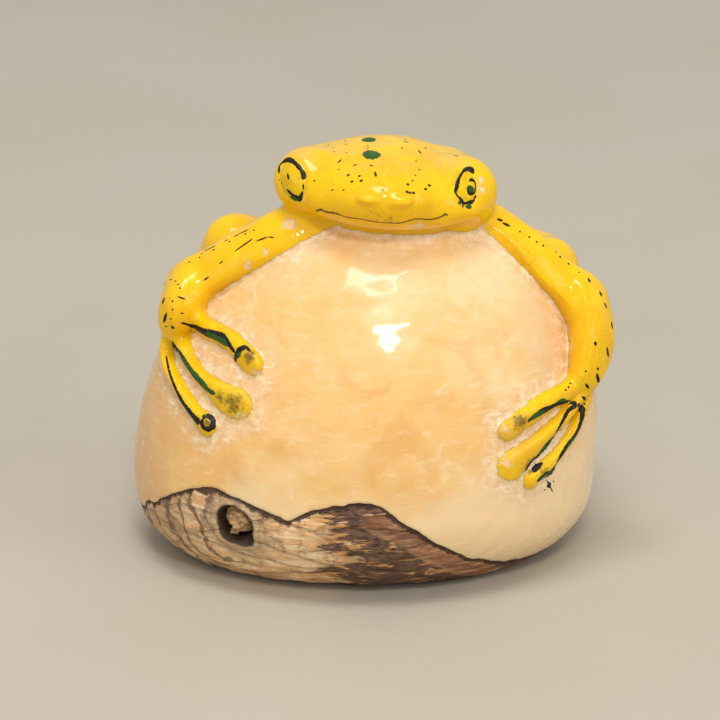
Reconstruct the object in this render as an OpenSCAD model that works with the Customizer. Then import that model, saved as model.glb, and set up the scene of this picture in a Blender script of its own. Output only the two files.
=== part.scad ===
// Carved tagua-nut frog: a frog hugging a polished vegetable-ivory nut that stands on its own seed coat.
// Front is -Y, up is +Z, and the origin is the centre of the flat sole. Millimetres.
// Left and right are the frog's own: its left is +X.
// A place on the nut is [azimuth, height, lift, radius]: azimuth in degrees from the front towards +X,
// height above the sole, lift outwards from the nut's surface, and the radius of what is carved there.

/* [Nut] */
// Width of the nut at its belly
nut_w = 50; // [44:0.5:56]
// Depth of the nut at its belly
nut_d = 41; // [36:0.5:46]
// Height of the nut under the frog's head
nut_h = 39; // [36:0.5:42]
// Height of the belly, the widest level
belly_z = 9.5; // [8:0.5:12]
// How far the top leans towards the frog's left
lean_x = 2.6; // [0:0.1:4]
// How far the top leans to the back
lean_y = 0.5; // [0:0.1:2]
// Width of the sole as a share of the belly
sole_w_share = 0.8; // [0.7:0.01:0.9]
// Depth of the sole as a share of the belly
sole_d_share = 0.68; // [0.6:0.01:0.8]

/* [Seed coat] */
// Thickness of the brown seed coat left on the nut
coat_t = 0.8; // [0.5:0.1:1]
// Radius of the germ pore's mouth
pore_r = 2.05; // [1.6:0.05:2.4]
// Depth of the germ pore
pore_depth = 3.4; // [2.5:0.1:5]
// Thickness of the dried plug at the pore's bottom
plug_t = 1.3; // [0.8:0.1:2]

/* [Frog] */
// Half width of the skull
skull_half_w = 9.8; // [8:0.1:11]
// Half length of the skull, snout to nape
skull_half_len = 8.0; // [7:0.1:9]
// Half height of the skull
skull_half_h = 4.4; // [3.6:0.1:5]
// Roll of the head, its right side up
head_roll = 4; // [0:0.5:8]
// Width of the trunk as a share of its thickness
trunk_spread = 1.3; // [1:0.05:1.4]
// How far the painted eyes stand out of the head
eye_proud = 0.25; // [0.1:0.05:0.5]

/* [Hidden] */

ivory = [0.93, 0.76, 0.50];
husk = [0.42, 0.29, 0.20];
plug_tan = [0.72, 0.55, 0.36];
paint = [0.95, 0.78, 0.08];
eye_paint = [0.80, 0.68, 0.14];

sides = 72;             // facets round the nut
seat_rings = 5;         // rings from the sole to the coat's edge
ivory_rings = 18;       // rings from the coat's edge to the crown
limb_fn = 20;           // facets of a limb
toe_fn = 14;            // facets of a toe
crown_z = nut_h - 0.02; // the top ring, just under the crown point

// Height of the seed coat's wavy edge: [azimuth, height], once round the nut.
coat_edge = [[-180, 6.5], [-140, 5], [-110, 4], [-90, 4.4], [-66, 7.4], [-57, 9.1], [-43, 11.7], [-31, 11.2],
    [-24, 10.4], [-18, 10.1], [-12, 11.1], [-6, 11.8], [1, 11.9], [8, 10.2], [18.5, 6.9], [30, 3.9],
    [50, 1.7], [90, 1.5], [130, 4], [160, 6.8], [180, 6.5]];
pore_place = [-33, 8.3, 0, 0];

// The head's middle, and the jaw under it as seen from there before the head rolls
head_at = [2.3, -2.6, 41];
jaw_off = [0.6, -2.2, -1.6];
jaw_half = [9.9, 5.6, 2.4];
// Each eye's bulge and the temple behind it: [[x, y, z, radius], [x, y, z, radius]]
right_bulge = [[-5.7, -3.8, 41.7, 3.6], [-4.6, 1.6, 40.4, 3.2]];
left_bulge = [[10.2, -3.4, 40.3, 3.8], [8.4, 1.8, 39.4, 3.4]];
// Each painted eye: [azimuth, elevation, half width, half height] on its bulge
right_eye_at = [-38, 20, 1.65, 2.2];
left_eye_at = [13, 33, 1.2, 2.1];

// Limbs, from the body outwards
right_arm = [[-67, 36.6, 0.3, 2.8], [-73, 33.4, 1.0, 2.9], [-82, 29.4, 1.5, 3.1], [-77.5, 27.6, 1.4, 3.1],
    [-75, 25.9, 0.9, 2.3]];
left_arm = [[80, 36.2, 0.2, 2.3], [78, 33.2, 0.8, 2.6], [80.5, 28.0, 2.0, 3.0], [75, 24.9, 2.0, 3.1],
    [68, 21.4, 0.7, 2.0]];
right_toes = [
    [[-73, 25.6, 0.2, 1.8], [-62, 26.8, 0.1, 1.0], [-47, 26.4, 0, 1.0], [-37, 24.8, -0.1, 1.3]],
    [[-73, 25.4, 0.2, 1.8], [-58, 23.2, 0.1, 0.9], [-48, 22.0, 0, 0.9], [-38, 20.7, -0.6, 1.9]],
    [[-75, 25.0, 0.2, 1.7], [-61, 20.9, 0.1, 0.9], [-51, 19.2, 0, 0.9], [-45, 18.1, -0.1, 1.1]]];
left_toes = [
    [[66, 20.3, 0.2, 1.9], [58, 20.3, 0.1, 1.1], [47, 19.9, 0, 1.1], [36, 18.3, -0.2, 1.1]],
    [[66, 20.0, 0.2, 1.9], [57, 18.2, 0.1, 0.9], [47, 16.7, 0, 0.9], [37, 14.5, -0.5, 1.6]],
    [[67, 19.8, 0.2, 1.9], [61, 16.7, 0.1, 0.9], [50, 13.9, 0, 0.9], [43.5, 12.6, -0.1, 1.1]]];
right_leg = [[-158, 24, 0.6, 4.2], [-136, 28.6, 0.9, 3.8], [-116, 31.2, 0.2, 3.4], [-136, 19.5, 0.9, 2.5],
    [-146, 13, 0.5, 2.2]];
left_leg = [[158, 23.5, 0.6, 4.2], [134, 27.4, 0.9, 3.8], [109, 29.2, 0.2, 3.2], [134, 18, 0.9, 2.5],
    [146, 12, 0.5, 2.2]];
right_foot = [
    [[-146, 13, 0.4, 1.9], [-132, 13.8, 0.2, 1.1], [-122, 14.4, 0.1, 1.0], [-113, 14.2, -0.1, 1.3]],
    [[-146, 13, 0.4, 1.9], [-134, 11.6, 0.2, 1.1], [-123, 10.8, 0.1, 1.0], [-113, 10.2, -0.2, 1.5]],
    [[-146, 13, 0.4, 1.9], [-138, 9.8, 0.2, 1.1], [-129, 8.2, 0.1, 1.0], [-121, 7.0, -0.1, 1.2]]];
left_foot = [
    [[146, 12, 0.4, 1.9], [132, 12.9, 0.2, 1.1], [122, 13.4, 0.1, 1.0], [113, 13.2, -0.1, 1.3]],
    [[146, 12, 0.4, 1.9], [134, 10.7, 0.2, 1.1], [123, 9.9, 0.1, 1.0], [113, 9.3, -0.2, 1.5]],
    [[146, 12, 0.4, 1.9], [138, 9.2, 0.2, 1.1], [129, 7.8, 0.1, 1.0], [121, 6.8, -0.1, 1.2]]];
// The trunk runs from the nape down the back to the rump: [x, y, z, radius]
trunk_line = [[2.4, 1.8, 37.8, 6.0], [2.2, 7.4, 33.0, 7.9], [1.6, 12.6, 25.4, 7.6], [1.2, 15.2, 20.2, 5.6]];

function clamp01(t) = max(0, min(1, t));
function up(z) = clamp01((z - belly_z) / (nut_h - belly_z));
function down(z) = clamp01((belly_z - z) / belly_z);
function crown(z) = sqrt(max(0, 1 - pow(up(z), 2.1)));
function half_w(z) = nut_w / 2 * crown(z) * (1 - (1 - sole_w_share) * pow(down(z), 3));
function half_d(z) = nut_d / 2 * crown(z) * (1 - (1 - sole_d_share) * pow(down(z), 2.2));
function on_nut(p) = [
    lean_x * up(p[1]) + (half_w(p[1]) + p[2]) * sin(p[0]),
    lean_y * up(p[1]) - (half_d(p[1]) + p[2]) * cos(p[0]),
    p[1]];

// A smooth curve through the list t of [position, value], read at position a
function slope(t, i) = let (p = t[max(i - 1, 0)], q = t[min(i + 1, len(t) - 1)]) (q[1] - p[1]) / (q[0] - p[0]);
function span(t, a, i = 0) = a <= t[i + 1][0] || i + 2 == len(t) ? i : span(t, a, i + 1);
function curve(t, a) =
    let (i = span(t, a), w = t[i + 1][0] - t[i][0], s = clamp01((a - t[i][0]) / w))
    t[i][1] * (1 + 2 * s) * pow(1 - s, 2) + slope(t, i) * w * s * pow(1 - s, 2)
    + t[i + 1][1] * s * s * (3 - 2 * s) - slope(t, i + 1) * w * s * s * (1 - s);
function azimuth(i) = -180 + 360 * i / sides;

// One ring of points round the nut, from the sole (s = 0) to the coat's edge (s = 1)
function seat_ring(s, floor_z, lift) = [for (i = [0:sides - 1])
    on_nut([azimuth(i), floor_z + (curve(coat_edge, azimuth(i)) - floor_z) * s, lift])];
// One ring from the coat's edge (s = 0) to the crown (s = 1), closer together near the crown
function ivory_ring(s) = [for (i = [0:sides - 1])
    on_nut([azimuth(i), crown_z - (crown_z - curve(coat_edge, azimuth(i))) * cos(90 * s), 0])];

// Closes a stack of rings into a solid. The first ring faces down and the last one faces up.
module skin(rings) {
    n = len(rings);
    polyhedron(
        points = [for (r = rings) each r],
        faces = concat(
            [for (k = [0:n - 2]) for (i = [0:sides - 1]) each
                let (a = k * sides + i, b = k * sides + (i + 1) % sides)
                [[a, a + sides, b], [b, a + sides, b + sides]]],
            [[for (i = [0:sides - 1]) i]],
            [[for (i = [sides - 1:-1:0]) (n - 1) * sides + i]]));
}

// The nut's ivory, with a rebate for the seed coat
module ivory_form() {
    skin(concat(
        [for (k = [0:seat_rings]) seat_ring(k / seat_rings, coat_t, -coat_t)],
        [for (k = [0:ivory_rings]) ivory_ring(k / ivory_rings)]));
}

// The nut's outer form below the coat's edge, from the sole up
module coat_form() {
    skin(concat(
        [for (k = [0:seat_rings]) seat_ring(k / seat_rings, 0, 0)],
        [for (k = [seat_rings:-1:0]) seat_ring(k / seat_rings, coat_t, -coat_t)]));
}

module at_pore() {
    translate(on_nut(pore_place)) rotate([90, 0, pore_place[0]]) children();
}

module pore_hole() {
    at_pore() translate([0, 0, -pore_depth]) cylinder(r1 = pore_r * 0.8, r2 = pore_r * 1.12, h = pore_depth + 2, $fn = 32);
}

// A chain of tapered, round-ended lengths through places on the nut
module limb(path, fn) {
    for (i = [0:len(path) - 2])
        hull() {
            translate(on_nut(path[i])) sphere(path[i][3], $fn = fn);
            translate(on_nut(path[i + 1])) sphere(path[i + 1][3], $fn = fn);
        }
}

module toes(paths) {
    for (path = paths) limb(path, toe_fn);
}

module at_head() {
    translate(head_at) rotate([0, head_roll, 0]) children();
}

module ball(p, fn) {
    translate([p[0], p[1], p[2]]) sphere(p[3], $fn = fn);
}

// A painted eye, a thin lens on the bulge b at the place e
module eye(b, e) {
    translate([b[0], b[1], b[2]]) rotate([-e[1], 0, e[0]]) translate([0, eye_proud - b[3], 0])
        scale([e[2], eye_proud * 2, e[3]]) sphere(1, $fn = 32);
}

module head_form() {
    hull()
        at_head() {
            scale([skull_half_w, skull_half_len, skull_half_h]) sphere(1, $fn = 36);
            translate(jaw_off) scale(jaw_half) sphere(1, $fn = 36);
        }
    for (pair = [right_bulge, left_bulge])
        hull() {
            ball(pair[0], 28);
            ball(pair[1], 20);
        }
}

module trunk_form() {
    for (i = [0:len(trunk_line) - 2])
        hull()
            for (p = [trunk_line[i], trunk_line[i + 1]])
                translate([p[0], p[1], p[2]]) scale([trunk_spread, 1, 1]) sphere(p[3], $fn = 28);
}

module forelegs() {
    limb(right_arm, limb_fn);
    limb(left_arm, limb_fn);
}

module hind_legs() {
    limb(right_leg, limb_fn);
    limb(left_leg, limb_fn);
}

module nut_body() {
    color(ivory) difference() {
        ivory_form();
        pore_hole();
        trunk_form();
        head_form();
        forelegs();
        hind_legs();
        for (paths = [right_toes, left_toes, right_foot, left_foot]) toes(paths);
    }
}

module seed_coat() {
    color(husk) difference() {
        coat_form();
        pore_hole();
    }
}

module pore_plug() {
    color(plug_tan) at_pore() translate([0, 0, -pore_depth]) {
        cylinder(r = pore_r * 0.8, h = plug_t, $fn = 32);
        translate([0, 0, plug_t - 0.3]) cylinder(r1 = pore_r * 0.55, r2 = pore_r * 0.3, h = 0.7, $fn = 32);
    }
}

module frog_head() {
    color(paint) difference() {
        head_form();
        forelegs();
        eye(right_bulge[0], right_eye_at);
        eye(left_bulge[0], left_eye_at);
    }
}

module right_eye() {
    color(eye_paint) eye(right_bulge[0], right_eye_at);
}

module left_eye() {
    color(eye_paint) eye(left_bulge[0], left_eye_at);
}

module frog_trunk() {
    color(paint) difference() {
        trunk_form();
        head_form();
        forelegs();
        hind_legs();
    }
}

module foreleg(path, paths) {
    color(paint) difference() {
        limb(path, limb_fn);
        toes(paths);
    }
}

module hind_leg(path, paths, arm) {
    color(paint) difference() {
        limb(path, limb_fn);
        limb(arm, limb_fn);
        toes(paths);
    }
}

module painted_toes(paths) {
    color(paint) toes(paths);
}

nut_body();
seed_coat();
pore_plug();
frog_head();
right_eye();
left_eye();
frog_trunk();
foreleg(right_arm, right_toes);  // right_foreleg
foreleg(left_arm, left_toes);  // left_foreleg
painted_toes(right_toes);  // right_hand
painted_toes(left_toes);  // left_hand
hind_leg(right_leg, right_foot, right_arm);  // right_hind_leg
hind_leg(left_leg, left_foot, left_arm);  // left_hind_leg
painted_toes(right_foot);  // right_hind_foot
painted_toes(left_foot);  // left_hind_foot
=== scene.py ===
import math
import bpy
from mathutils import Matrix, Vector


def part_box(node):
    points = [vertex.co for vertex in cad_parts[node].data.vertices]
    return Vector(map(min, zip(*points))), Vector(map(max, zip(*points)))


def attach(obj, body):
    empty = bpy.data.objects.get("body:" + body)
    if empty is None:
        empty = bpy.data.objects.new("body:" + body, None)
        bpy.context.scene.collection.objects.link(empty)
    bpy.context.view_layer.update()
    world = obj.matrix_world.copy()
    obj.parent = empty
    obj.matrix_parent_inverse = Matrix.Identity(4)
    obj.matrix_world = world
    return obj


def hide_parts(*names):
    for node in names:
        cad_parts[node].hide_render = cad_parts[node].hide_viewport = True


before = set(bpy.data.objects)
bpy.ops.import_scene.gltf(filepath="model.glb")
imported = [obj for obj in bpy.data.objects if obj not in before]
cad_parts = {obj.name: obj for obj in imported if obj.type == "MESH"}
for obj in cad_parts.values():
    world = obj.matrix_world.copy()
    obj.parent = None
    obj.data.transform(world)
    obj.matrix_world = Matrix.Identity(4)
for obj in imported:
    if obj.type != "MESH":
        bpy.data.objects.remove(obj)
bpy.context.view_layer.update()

from concurrent.futures import ThreadPoolExecutor

import bpy
import numpy as np
import openvdb
from mathutils import Vector

# A frog carved from one tagua nut. Every length below is in millimetres, in the frame's own axes, and
# becomes metres only when a mesh is made. Left and right are the frog's own: its left is +X.
MM = 0.001

# ---------------- the frame's sizes


def frame_box(node):
    """A node's lowest and highest corner, in millimetres."""
    low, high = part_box(node)
    return np.array(low) / MM, np.array(high) / MM


nut_low, nut_high = frame_box("nut_body")

# The nut's depth is the CAD nut's, and its widest level is a rounder oval than the sole
NUT_D = nut_high[1] - nut_low[1]
NUT_W = NUT_D * 50 / 40.9
# Heights of the crown and of the widest level
NUT_H = 39.0
BELLY = 9.5
# How far the crown leans along X and Y
LEAN = (2.6, 0.5)
# The sole's width and depth, as shares of the widest level's
SOLE_SHARE = (0.80, 0.68)
# How squarely the side turns into the crown, and into the sole along X and Y
CROWN_POWER = 2.1
SOLE_POWER = (3, 2.2)
# Thickness of the seed coat
COAT_T = 0.8
# Sizes of the cells that the nut and the frog are meshed with
VOXEL = 0.34
FINE_VOXEL = 0.2
# How far past a limb's own box its field is worked out, and the value it has beyond that
REACH = 2.5
FAR = 60.0

# ---------------- small numerical helpers


def smooth_min(a, b, k):
    """The smaller of two fields, rounded over a width of about k where they meet."""
    h = np.clip(0.5 + 0.5 * (b - a) / k, 0, 1)
    return b + (a - b) * h - k * h * (1 - h)


def smooth_max(a, b, k):
    return -smooth_min(-a, -b, k)


POOL = ThreadPoolExecutor(4)
CHUNK = 12000
LIMB_CHUNK = 40000
CELL_CHUNK = 400000


def spread(field, p):
    """A field's values at p, worked out in chunks on a few threads."""
    if len(p) < CHUNK * 2:
        return field(p)
    return np.concatenate(list(POOL.map(field, np.array_split(p, len(p) // CHUNK + 1))))


def waves(p, size, seed, count=9):
    """Smooth noise from about -1 to 1: sine waves in random directions, each about size long."""
    rng = np.random.default_rng(seed)
    total = np.zeros(len(p))
    for _ in range(count):
        way = rng.normal(size=3)
        way *= 2 * math.pi / (size * rng.uniform(0.7, 1.6) * np.linalg.norm(way))
        total += np.sin(p @ way + rng.uniform(0, 2 * math.pi))
    return total / math.sqrt(2 * count)


def catmull(points, steps):
    """A smooth curve through rows of numbers, steps samples to a span, and the last row."""
    points = np.array(points, float)
    padded = np.vstack([2 * points[0] - points[1], points, 2 * points[-1] - points[-2]])
    rows = []
    for i in range(len(points) - 1):
        a, b, c, d = padded[i:i + 4]
        for t in np.arange(steps) / steps:
            rows.append(0.5 * (2 * b + (c - a) * t + (2 * a - 5 * b + 4 * c - d) * t ** 2
                               + (3 * b - a - 3 * c + d) * t ** 3))
    rows.append(points[-1])
    return np.array(rows)


# ---------------- the nut's form


def up(z):
    """0 at the widest level and below it, 1 at the crown."""
    return np.clip((z - BELLY) / (NUT_H - BELLY), 0, None)


def down(z):
    """0 at the widest level and above it, 1 at the sole."""
    return np.clip((BELLY - z) / BELLY, 0, 1)


def half_sizes(z):
    """The nut's half width and half depth at a height, before the crown closes it."""
    return (NUT_W / 2 * (1 - (1 - SOLE_SHARE[0]) * down(z) ** SOLE_POWER[0]),
            NUT_D / 2 * (1 - (1 - SOLE_SHARE[1]) * down(z) ** SOLE_POWER[1]))


def nut_level(p):
    """0 on the nut's side, below 0 inside it; not yet a distance."""
    x, y, z = p.T
    a, b = half_sizes(z)
    rise = np.minimum(up(z), 1)
    return ((x - LEAN[0] * rise) / a) ** 2 + ((y - LEAN[1] * rise) / b) ** 2 + up(z) ** CROWN_POWER - 1


def slope_of(field, p, step, value=None):
    """A field's gradient by forward differences."""
    value = field(p) if value is None else value
    return np.stack([(field(p + step * axis) - value) / step for axis in np.eye(3)], axis=1)


def nut_skin(p):
    """About the distance out of the nut's side, without its flat sole."""
    steep = np.linalg.norm(slope_of(nut_level, p, 0.05), axis=1)
    return nut_level(p) / np.maximum(steep, 0.035)


def on_nut(azimuth, z, lift=0.0):
    """The point at this azimuth (degrees from the front towards +X) and height, lifted off the nut."""
    azimuth, z = np.radians(azimuth), np.asarray(z, float)
    a, b = half_sizes(z)
    crown = np.sqrt(np.maximum(1 - up(z) ** CROWN_POWER, 0))
    rise = np.minimum(up(z), 1)
    return np.stack([LEAN[0] * rise + (a * crown + lift) * np.sin(azimuth),
                     LEAN[1] * rise - (b * crown + lift) * np.cos(azimuth), z], axis=-1)


def around(p):
    """Each point's azimuth round the nut, in degrees."""
    a, b = half_sizes(p[:, 2])
    rise = np.minimum(up(p[:, 2]), 1)
    return np.degrees(np.arctan2((p[:, 0] - LEAN[0] * rise) / a, -(p[:, 1] - LEAN[1] * rise) / b))


# ---------------- the frog's form

# Limbs as rows of azimuth, height, lift, half width along the nut and half thickness out of it
LIMBS = {
    "right_foreleg": [(-66, 37.0, 0.2, 3.3, 2.4), (-71, 34.5, 0.9, 3.4, 2.3), (-77, 32.0, 1.2, 3.4, 2.3),
                      (-82, 29.8, 1.5, 3.2, 2.4)],
    "right_forearm": [(-80, 29.2, 1.5, 3.3, 2.5), (-76, 27.9, 1.4, 3.8, 2.6), (-76, 26.8, 1.1, 2.5, 2.0)],
    "left_foreleg": [(80, 36.6, 0.1, 2.4, 2.2), (77, 33.6, 0.8, 2.8, 2.2), (79, 30.6, 1.2, 3.1, 2.3),
                     (80.5, 28.4, 1.7, 3.1, 2.4)],
    "left_forearm": [(79.5, 27.6, 2.1, 3.8, 2.6), (74, 24.9, 2.0, 4.0, 2.5), (69, 22.3, 1.2, 2.9, 2.1),
                     (67, 21.2, 0.6, 1.8, 1.7)],
    "right_hind_leg": [(-158, 24, 0.6, 4.4, 4.0), (-136, 28.6, 0.9, 3.9, 3.8), (-116, 31.2, 0.2, 3.4, 3.4)],
    "right_shank": [(-117, 31.0, 0.2, 3.2, 3.2), (-134, 21, 0.8, 2.7, 2.5), (-146, 13, 0.5, 2.2, 2.0)],
    "left_hind_leg": [(158, 23.5, 0.6, 4.4, 4.0), (134, 27.4, 0.9, 3.9, 3.8), (110, 28.8, 0.1, 3.2, 3.2)],
    "left_shank": [(110, 29.0, 0.2, 3.1, 3.1), (131, 20, 0.8, 2.7, 2.5), (146, 12, 0.5, 2.2, 2.0)],
}
TOES = {
    "right_hand": [
        [(-76, 26.4, 0.5, 1.2, 1.5), (-68, 27.0, 0.2, 1.1, 1.0), (-62, 26.9, 0.1, 1.0, 0.9),
         (-47, 26.5, 0, 1.0, 0.9), (-37, 24.9, -0.2, 1.35, 0.8)],
        [(-76, 25.6, 0.5, 1.0, 1.4), (-67, 24.6, 0.2, 0.75, 1.0), (-58, 23.2, 0.1, 0.7, 0.85),
         (-48, 22, 0, 0.9, 0.8), (-38, 20.7, -0.3, 2.0, 0.8)],
        [(-77, 25.6, 0.5, 1.2, 1.4), (-75, 23, 0.2, 0.85, 1.0), (-61, 20.9, 0.1, 0.7, 0.85),
         (-51, 19.2, 0, 0.8, 0.8), (-45, 18, -0.2, 1.05, 0.8)]],
    "left_hand": [
        [(68, 21.0, 0.4, 1.2, 1.5), (59, 20.4, 0.1, 1.1, 0.9), (47, 19.9, 0, 1.1, 0.9),
         (36, 18.3, -0.2, 1.1, 0.8)],
        [(68.5, 20.6, 0.4, 0.8, 1.3), (57, 18.2, 0.1, 0.75, 0.85), (47, 16.7, 0, 0.85, 0.8),
         (37, 14.5, -0.3, 1.7, 0.8)],
        [(69.5, 20.4, 0.4, 0.8, 1.3), (63, 17, 0.1, 0.75, 0.85), (56, 15.1, 0, 0.7, 0.8),
         (49, 13.7, 0, 0.75, 0.8), (43.5, 12.5, -0.2, 1.05, 0.8)]],
}
# The hind feet are alike but for their height: turn from the front, height on the right and on the left,
# lift, half width and half thickness
HIND_TOES = [
    [(146, 13, 12, 0.3, 1.9, 1.6), (132, 13.8, 12.9, 0.2, 1.0, 1.0), (122, 14.4, 13.4, 0.1, 0.9, 0.9),
     (113, 14.2, 13.2, -0.1, 1.3, 0.9)],
    [(146, 13, 12, 0.3, 1.9, 1.6), (134, 11.6, 10.7, 0.2, 0.9, 1.0), (123, 10.8, 9.9, 0.1, 0.9, 0.9),
     (113, 10.2, 9.3, -0.1, 1.5, 0.9)],
    [(146, 13, 12, 0.3, 1.9, 1.6), (138, 9.8, 9.2, 0.2, 0.9, 1.0), (129, 8.2, 7.8, 0.1, 0.9, 0.9),
     (121, 7.0, 6.8, -0.1, 1.2, 0.9)]]
for side, sign, height in (("right", -1, 1), ("left", 1, 2)):
    TOES[f"{side}_hind_foot"] = [[(sign * row[0], row[height], *row[3:]) for row in toe]
                                 for toe in HIND_TOES]

# The trunk, as rows of place, half width and half thickness, and the way its back faces
TRUNK = [(2.4, 1.8, 37.8, 7.6, 6.0), (2.3, 5.0, 35.6, 9.4, 7.2), (2.2, 8.4, 32.0, 10.2, 8.0),
         (1.8, 11.6, 27.4, 9.8, 8.0), (1.4, 13.8, 23.2, 8.4, 6.8), (1.2, 15.2, 20.0, 6.4, 5.2)]
TRUNK_OUT = (0.0, 0.5, 1.0)

# The head's middle, how far round it the head is worked out, and its roll about the Y axis
HEAD = np.array([2.3, -2.6, 41.0])
HEAD_REACH = 16
ROLL = math.radians(4)
# The bulges under the eyes
RIGHT_BULGE = np.array([-5.7, -3.8, 41.75])
LEFT_BULGE = np.array([10.2, -3.4, 40.4])


class Limb:
    """A tube along a curve whose section is a rounded diamond: wide along the nut, thick out of it."""

    def __init__(self, rows, power, turn=0.0, steps=12, on_surface=True):
        rows = catmull(rows, steps)
        if on_surface:
            self.centre = on_nut(rows[:, 0], rows[:, 1], rows[:, 2])
            out = self.centre - on_nut(rows[:, 0], rows[:, 1], rows[:, 2] - 1)
        else:
            self.centre = rows[:, :3]
            out = np.tile(TRUNK_OUT, (len(rows), 1))
        self.width, self.thick = rows[:, 3], rows[:, 4]
        along = np.gradient(self.centre, axis=0)
        self.along = along / np.linalg.norm(along, axis=1, keepdims=True)
        out -= self.along * np.sum(out * self.along, axis=1, keepdims=True)
        out /= np.linalg.norm(out, axis=1, keepdims=True)
        side = np.cross(self.along, out)
        c, s = math.cos(math.radians(turn)), math.sin(math.radians(turn))
        self.out, self.side = out * c + side * s, side * c - out * s
        self.power = power
        big = np.maximum(self.width, self.thick)[:, None]
        self.low = (self.centre - big).min(axis=0) - REACH
        self.high = (self.centre + big).max(axis=0) + REACH

    def skin_at(self, k, turn=0.0):
        """The place on ring k of the surface, turned from the way out towards the side."""
        return (self.centre[k] + self.out[k] * self.thick[k] * math.cos(turn)
                + self.side[k] * self.width[k] * math.sin(turn))

    def __call__(self, p):
        """About the distance out of the limb, from the ring of its curve that is nearest."""
        found = np.full(len(p), FAR)
        near = np.flatnonzero(np.all((p > self.low) & (p < self.high), axis=1))
        for part in np.array_split(near, max(1, len(near) // LIMB_CHUNK)):
            q = p[part]
            square = (q ** 2).sum(1)[:, None] + (self.centre ** 2).sum(1) - 2 * q @ self.centre.T
            k = np.argmin(np.sqrt(np.maximum(square, 0)) - self.width, axis=1)
            arm = q - self.centre[k]
            w, t = self.width[k], self.thick[k]
            u = np.abs((arm * self.side[k]).sum(1)) / w
            v = np.abs((arm * self.out[k]).sum(1)) / t
            e = np.abs((arm * self.along[k]).sum(1)) / w
            ring = (u ** self.power + v ** self.power) ** (1 / self.power)
            reach = np.sqrt(ring ** 2 + e ** 2)
            length = np.linalg.norm(arm, axis=1)
            found[part] = length * (1 - 1 / np.maximum(reach, 0.05))
        return found


def ellipsoid(p, centre, half, roll=0.0, power=2.0):
    """About the distance out of an ellipsoid, boxier the higher its power."""
    q = p - centre
    c, s = math.cos(roll), math.sin(roll)
    q = np.stack([q[:, 0] * c - q[:, 2] * s, q[:, 1], q[:, 0] * s + q[:, 2] * c], axis=1)
    half = np.asarray(half, float)
    share = np.maximum(np.abs(q / half), 1e-6)
    near = (share ** power).sum(1) ** (1 / power)
    steep = np.linalg.norm(share ** (power - 1) / half, axis=1) * near ** (1 - power)
    return (near - 1) / np.maximum(steep, 1e-3)


def head_point(dx, dy, dz):
    """A place on the head, given before it rolls."""
    c, s = math.cos(ROLL), math.sin(ROLL)
    return HEAD + np.array([dx * c + dz * s, dy, dz * c - dx * s])


SKULL = (head_point(0, 0, 0.35), (9.7, 8.0, 3.75), ROLL, 2.2)
# The lumps added to the skull, in this order: middle, half sizes, roll and how softly it is joined
HEAD_LUMPS = {
    "jaw": (head_point(0.6, -2.2, -0.95), (9.9, 5.6, 2.25), ROLL, 2.4),
    "snout": (head_point(-0.2, -6.3, 0.6), (4.6, 3.4, 2.4), 0, 2.0),
    "right nostril": (head_point(-1.9, -9.3, 1.1), (1.15, 0.75, 0.6), 0, 0.6),
    "left nostril": (head_point(1.4, -9.3, 1.1), (1.15, 0.75, 0.6), 0, 0.6),
    "right bulge": (RIGHT_BULGE, (3.75, 3.6, 3.6), 0, 0.9),
    "right temple": (RIGHT_BULGE + (1.0, 5.2, -1.2), (3.4, 4.4, 3.0), 0, 1.6),
    "left bulge": (LEFT_BULGE, (3.8, 3.7, 3.85), 0, 1.0),
    "left temple": (LEFT_BULGE + (-1.0, 5.0, -0.6), (3.6, 4.4, 3.3), 0, 1.6),
    "neck": (np.array([2.6, 0.4, 36.9]), (9.5, 5.4, 3.3), 0, 1.4),
}


def near_head(p):
    """Which places are in the cube round the head."""
    return np.flatnonzero(np.all((p > HEAD - HEAD_REACH) & (p < HEAD + HEAD_REACH), axis=1))


def head_form(p):
    """About the distance out of the head, without its eye discs."""
    near = near_head(p)
    form = ellipsoid(p[near], *SKULL)
    for middle, half, roll, blend in HEAD_LUMPS.values():
        form = smooth_min(form, ellipsoid(p[near], middle, half, roll), blend)
    found = np.full(len(p), FAR)
    found[near] = form
    return found


# Section power and turn of the limbs that are ridged; the others are round
RIDGED = {"right_foreleg": (1.7, 22), "right_forearm": (1.9, 14),
          "left_foreleg": (1.5, -6), "left_forearm": (1.65, -5)}
limbs = {name: Limb(rows, *RIDGED.get(name, (2.0, 0))) for name, rows in LIMBS.items()}
toes = {name: [Limb(rows, 2.2) for rows in paths] for name, paths in TOES.items()}
trunk = Limb(TRUNK, 2.0, on_surface=False)


def frog_parts(p):
    """The distance out of each part of the frog, by the name of its CAD node."""
    parts = {"frog_head": head_form(p), "frog_trunk": trunk(p)}
    for side in ("right", "left"):
        parts[f"{side}_foreleg"] = smooth_min(limbs[f"{side}_foreleg"](p), limbs[f"{side}_forearm"](p), 1.6)
        parts[f"{side}_hind_leg"] = smooth_min(limbs[f"{side}_hind_leg"](p), limbs[f"{side}_shank"](p), 0.8)
        for end in ("hand", "hind_foot"):
            form = np.full(len(p), FAR)
            for toe in toes[f"{side}_{end}"]:
                form = smooth_min(form, toe(p), 0.3)
            parts[f"{side}_{end}"] = form
    return parts


# How softly each part runs into the head and the parts before it, in this order
BLENDS = {"frog_trunk": 2.5, "right_hind_leg": 1.2, "left_hind_leg": 1.2,
          "right_foreleg": 1.5, "left_foreleg": 1.5, "right_hand": 0.7, "left_hand": 0.7,
          "right_hind_foot": 0.7, "left_hind_foot": 0.7}


def frog_form(p):
    """About the distance out of the whole frog."""
    parts = frog_parts(p)
    form = parts["frog_head"]
    for name, blend in BLENDS.items():
        form = smooth_min(form, parts[name], blend)
    return form


# ---------------- from a form to a mesh


COARSE = 5
# Fields are cut off this far from their surface
BAND = 3.0


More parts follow.
